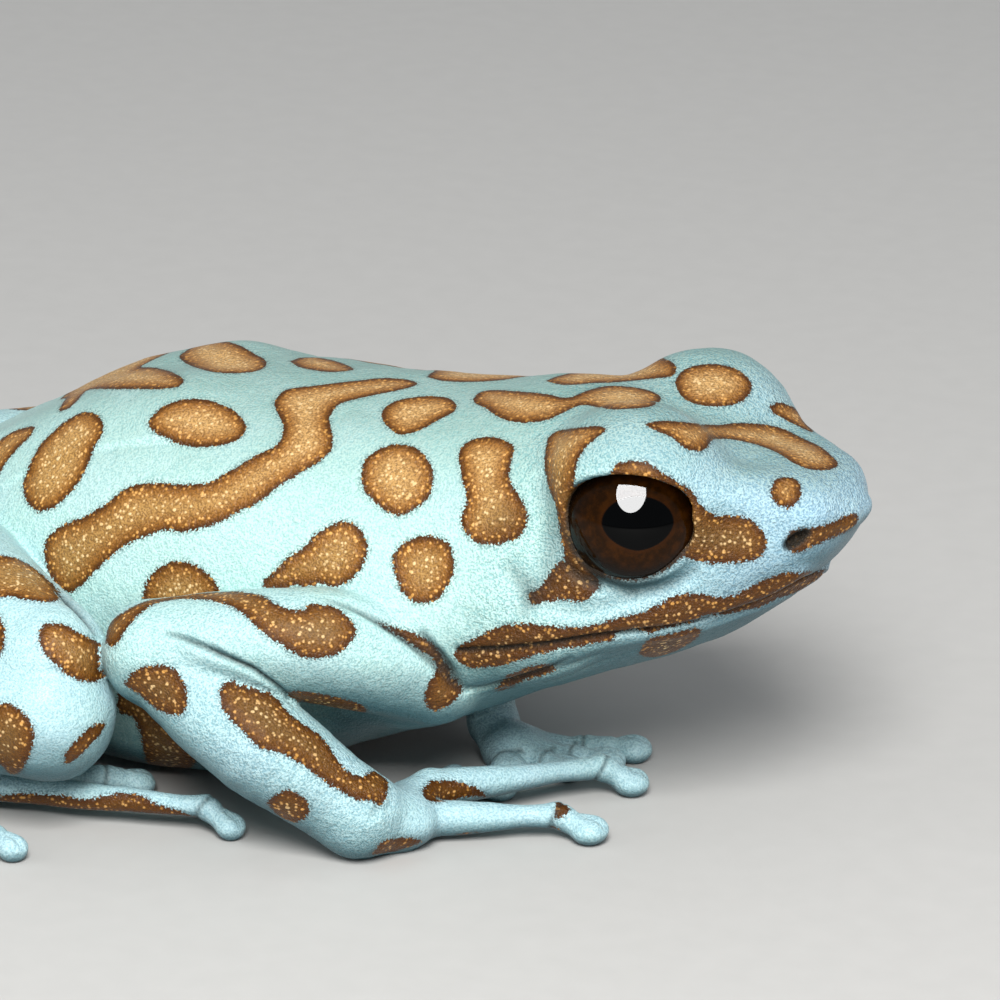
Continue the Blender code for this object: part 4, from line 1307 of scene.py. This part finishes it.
# %% Skin material
SPACING = 1 / MM                          # waves in a metre for one each millimetre
RELIEF = 0.06 * MM                        # height of the granules
SKIN_GLOW = 0.6 * MM                      # how far light spreads in the skin
skin_finish = Finish("dart_frog_skin")
place = skin_finish.node("ShaderNodeTexCoord", output="Object")
deep, blue_share, green_and_shade, under_tint_and_shade, crease, coarse_share, pale_and_lit = [
    skin_finish.painted(name) for name in ON_SKIN]
granules = skin_finish.grain(place, 14.0 * SPACING, 1.5, 0.6)
fuzz = skin_finish.grain(place, 13.0 * SPACING, 1.0, 0.5)
wander = skin_finish.grain(place, 1.3 * SPACING, 1.0)
mottle = skin_finish.grain(place, 0.5 * SPACING, 2.0)
edge = deep + (fuzz - 0.5) * (0.34 - green_and_shade * 0.4) + (wander - 0.5) * 0.1
spot = edge.step(-0.015, 0.02)
rim = 1 - (deep + (fuzz - 0.5) * 0.14).step(0.03, 0.3)
hollows = 1 - granules.step(0.38, 0.58)

# The ground: turquoise to sky blue, a greyer green on the back that is partly painted shade,
# paler in slow patches, darker in the hollows between granules and close to a spot, and painted
# shade on the underside.
blue_share = blue_share + (mottle - 0.45) * 0.7
ground = skin_finish.mixed(blue_share, colour(197, 232, 224), colour(182, 217, 232))
# A greener, greyer back, partly painted shade on the top.
ground = skin_finish.mixed(green_and_shade * 1.3, ground, colour(140, 168, 158))
ground = skin_finish.mixed((mottle - 0.4) * 0.6, ground, colour(214, 238, 230))
deep_ground = skin_finish.mixed(blue_share, colour(78, 158, 162), colour(70, 126, 160))
ground = skin_finish.mixed(hollows * (0.26 + coarse_share * 0.26), ground, deep_ground)
# Painted shade where the skin faces down, over its bluer tint.
ground = skin_finish.mixed(under_tint_and_shade * 0.9, ground, colour(24, 80, 92))
halo = deep.step(-0.22, 0.0) * hollows
ground = skin_finish.mixed(halo * 0.6, ground, colour(56, 66, 66))

# The bronze: brown on the limbs and tan on the back, with painted light making it paler where it
# faces up and high on the head, richer towards its border, darkest at the rim, with the gold
# grains on top.
inside = deep.step(0.1, 0.9)
bronze = skin_finish.mixed(pale_and_lit, colour(84, 52, 8), colour(196, 150, 84))
# Painted light: spots on the back are paler still where they face up.
bronze = skin_finish.mixed(green_and_shade * 1.2, bronze, colour(220, 176, 116))
near_border = skin_finish.mixed(pale_and_lit, colour(96, 54, 0), colour(144, 84, 0))
bronze = skin_finish.mixed((1 - inside) * 0.85, bronze, near_border)
bronze = skin_finish.mixed(rim, bronze, colour(78, 40, 0))
bronze = skin_finish.mixed(hollows * 0.5, bronze, colour(72, 42, 4))
gold_size = skin_finish.grain(place, 5.0 * SPACING)
gold = 1 - (skin_finish.cells(place, 5.6 * SPACING) - (gold_size - 0.5) * 0.8).step(0.1, 0.4)
gold_colour = skin_finish.mixed(inside, colour(242, 176, 88), colour(252, 220, 164))
gold_share = gold * (0.75 + pale_and_lit * 0.2 - rim * 0.4 - green_and_shade * 0.5)
bronze = skin_finish.mixed(gold_share, bronze, gold_colour)
skin_colour = skin_finish.mixed(spot, ground, bronze)
# Painted shade in the folds, the nostrils, the joint rings of the digits and where the lids meet
# the eyes.
skin_colour = skin_finish.mixed(crease * 0.9, skin_colour, colour(24, 30, 28))

# The surface: granules and broader pebbles, strongest on the head and the forearms.
roughness = 0.42 + (granules - 0.5) * 0.3 + crease * 0.2 - spot * 0.06
pebbles = skin_finish.grain(place, 5.0 * SPACING, 1.0)
relief = (granules - 0.5) * 1.5 + (pebbles - 0.5) * 1.4 + gold * spot * 0.3
bump = skin_finish.node("ShaderNodeBump", None,
                        {"Strength": 0.5 + coarse_share * 0.5, "Distance": RELIEF,
                         "Height": relief})
skin_finish.fill(skin_finish.shader, {
    "Base Color": skin_colour, "Roughness": roughness, "Normal": bump, "IOR": 1.36,
    "Coat Weight": 0.18 - spot * 0.13, "Coat Roughness": 0.22, "Coat IOR": 1.4,
    "Subsurface Weight": 0.08, "Subsurface Radius": (0.6, 0.5, 0.4),
    "Subsurface Scale": SKIN_GLOW,
})
skin.data.materials.append(skin_finish.material)
print("skin nodes:", len(skin_finish.tree.nodes))

# %% [markdown]
# ## The eyes
# A dart frog's eye is a wet black ball: a dark brown iris, and a pupil that is wider than
# it is high. The balls are rings of quads round the axis of sight, so the pupil and the
# iris sit where the rings are. One glossy surface does for cornea and iris together,
# because the iris is almost black and its depth can't be seen.

# %% Eyeballs
SIGHT = (0.42, 0.85, 0.21)                # axis of the left eye
PUPIL_WIDTH, PUPIL_HEIGHT = 1.16, 0.88    # half of each, mm
EYE_RINGS, EYE_SIDES = 64, 96


def eyeball(side):
    """One eye, with a float for each point: 1 at the pupil's edge, 0 at its middle."""
    axis = unit(np.array(mirrored(SIGHT, side)))
    level = unit(np.cross((0, 0, 1), axis))
    upright = np.cross(axis, level)
    spots, faces = [], []
    for ring in range(EYE_RINGS + 1):
        lean = math.pi * (ring + 0.02) / (EYE_RINGS + 0.04)
        for step in range(EYE_SIDES):
            turn = 2 * math.pi * step / EYE_SIDES
            spots.append((math.sin(lean) * math.cos(turn), math.sin(lean) * math.sin(turn),
                          math.cos(lean)))
            after = (step + 1) % EYE_SIDES
            if ring < EYE_RINGS:
                low, high = ring * EYE_SIDES, (ring + 1) * EYE_SIDES
                faces.append((low + step, high + step, high + after, low + after))
    flat = np.array(spots) * EYE_RADIUS
    placed = (np.outer(flat[:, 0], level) + np.outer(flat[:, 1], upright)
              + np.outer(flat[:, 2], axis) + np.array(mirrored(EYE_CENTRE, side)))
    made = mesh_from("eye_ball_" + side, placed, np.array(faces))
    across, up = flat[:, 0] / PUPIL_WIDTH, flat[:, 1] / PUPIL_HEIGHT
    behind = np.where(flat[:, 2] < 0, 4.0, 0.0)
    pupil = np.sqrt(across ** 2 + up ** 2 + 0.25 * np.clip(-up, 0, 1) * np.abs(across)) + behind
    write_on(made, "pupil_edge", pupil)
    return made


eyes = {side: eyeball(side) for side in SIDES}
print("eye quads:", [len(e.data.polygons) for e in eyes.values()])

# %% [markdown]
# The iris is dark chestnut with faint fibres, lighter in a thin ring at the pupil. A coat
# at almost no roughness gives the mirror-like wet front, and the body under it has no shine
# of its own.

# %% Eye material
eye_finish = Finish("dart_frog_eye")
place = eye_finish.node("ShaderNodeTexCoord", output="Object")
pupil_edge = eye_finish.painted("pupil_edge")
fibres = eye_finish.grain(place, 3.0 * SPACING, 3.0, 0.6)
iris = eye_finish.mixed(fibres.step(0.35, 0.7), colour(50, 26, 2), colour(80, 42, 4))
iris = eye_finish.mixed(pupil_edge.step(1.35, 2.0), iris, colour(20, 12, 6))
iris = eye_finish.mixed((1 - pupil_edge.step(1.02, 1.2)) * 0.5, iris, colour(84, 44, 12))
eye_colour = eye_finish.mixed(1 - pupil_edge.step(0.97, 1.03), iris, colour(2, 3, 4))
eye_finish.fill(eye_finish.shader, {
    "Base Color": eye_colour, "Roughness": 0.5 + (fibres - 0.5) * 0.1, "IOR": 1.3,
    "Specular IOR Level": 0.0,
    "Coat Weight": 1.0, "Coat Roughness": 0.01, "Coat IOR": 1.2,
})
for eye in eyes.values():
    eye.data.materials.append(eye_finish.material)
print("eye nodes:", len(eye_finish.tree.nodes))

# %% [markdown]
# ## Where the pieces belong
# The frog is one still body, so all three pieces ride on root. The skin stands for every
# node but the eyes.

# %% Ride and replace
skin_nodes = [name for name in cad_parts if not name.startswith("eye_")]
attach(skin, "root")
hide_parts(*skin_nodes)
for side, eye in eyes.items():
    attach(eye, "root")
    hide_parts("eye_" + side)
print("skin stands for", len(skin_nodes), "nodes")

# %% [markdown]
# ## Table and light
# A pale, matt table top runs far out of view. The key is a soft box some way above the lens.
# The eyes have an oval lamp of their own, a little higher, because the white window in a
# wet eye is that lamp's mirror image, and its shape matters more than its light. A weak
# panel from the left and a pale sky fill the shadows.

# %% Table, soft boxes and sky
TABLE_SIDE, TABLE_THICKNESS, TABLE_ROUNDING = 1.6, 0.03, 0.004        # metres


def table_top():
    """A square slab with rounded edges, its top just under the floor's level."""
    half, deep, top = TABLE_SIDE / 2, TABLE_THICKNESS, -0.02 * MM
    mesh = bpy.data.meshes.new("table_top")
    corners = [(x, y, z) for z in (top - deep, top) for x, y in
               ((-half, -half), (half, -half), (half, half), (-half, half))]
    faces = [(3, 2, 1, 0), (4, 5, 6, 7), (0, 1, 5, 4), (1, 2, 6, 5), (2, 3, 7, 6), (3, 0, 4, 7)]
    mesh.from_pydata(corners, [], faces)
    made = bpy.data.objects.new("table_top", mesh)
    bpy.context.scene.collection.objects.link(made)
    round_off = made.modifiers.new("rounded edges", "BEVEL")
    round_off.width, round_off.segments = TABLE_ROUNDING, 4
    return made


table_finish = Finish("pale_table")
place = table_finish.node("ShaderNodeTexCoord", output="Object")
speckle = table_finish.grain(place, 900.0, 3.0)
table_finish.fill(table_finish.shader, {
    "Base Color": table_finish.mixed(speckle, colour(198, 196, 192), colour(204, 202, 198)),
    "Roughness": 0.7 + (speckle - 0.5) * 0.1,
})
table = table_top()
table.data.materials.append(table_finish.material)


LIT_PLACE = np.array((8.0, -2.0, 8.0))


def soft_box(name, towards, distance, size, power, tint=(1.0, 1.0, 1.0)):
    """A flat lamp that looks at the frog's head; its distance and size are in metres."""
    lamp = bpy.data.lights.new(name, "AREA")
    lamp.shape, lamp.size, lamp.size_y = "RECTANGLE", size[0], size[1]
    lamp.energy, lamp.color = power, tint
    made = bpy.data.objects.new(name, lamp)
    bpy.context.scene.collection.objects.link(made)
    aim = (LIT_PLACE + FROG_SHIFT) * MM
    towards = unit(towards)
    made.location = Vector(aim + towards * distance)
    made.rotation_mode = "QUATERNION"
    made.rotation_quaternion = Vector(-towards).to_track_quat("-Z", "Y")
    return made


def over_lens(lift):
    """The direction that lies this many degrees above the lens."""
    return view_back * math.cos(math.radians(lift)) + view_up * math.sin(math.radians(lift))


key = soft_box("key_soft_box", over_lens(25.0), 0.25, (0.1, 0.12), 0.8)
side_panel = soft_box("side_panel", view_right * -0.9 + view_back * 0.35 + view_up * 0.3, 0.45,
                      (0.2, 0.3), 0.24, (0.93, 0.97, 1.0))
side_panel.visible_glossy = False
catch_light = soft_box("eye_catch_light", over_lens(33.0) - view_right * 0.07, 0.15,
                       (0.12, 0.17), 5.0)
catch_light.data.shape = "ELLIPSE"
catch_light.visible_diffuse = False
for lamp, name, lit in ((catch_light, "lit by the catch light", tuple(eyes.values())),
                        (key, "lit by the key", (skin, table))):
    receivers = bpy.data.collections.new(name)
    for piece in lit:
        receivers.objects.link(piece)
    lamp.light_linking.receiver_collection = receivers
sky = bpy.data.worlds.new("pale_sky")
sky.use_nodes = True
sky.node_tree.nodes["Background"].inputs["Color"].default_value = (0.86, 0.9, 0.95, 1.0)
sky.node_tree.nodes["Background"].inputs["Strength"].default_value = 0.36
bpy.context.scene.world = sky
bpy.context.scene.view_settings.view_transform = "Standard"
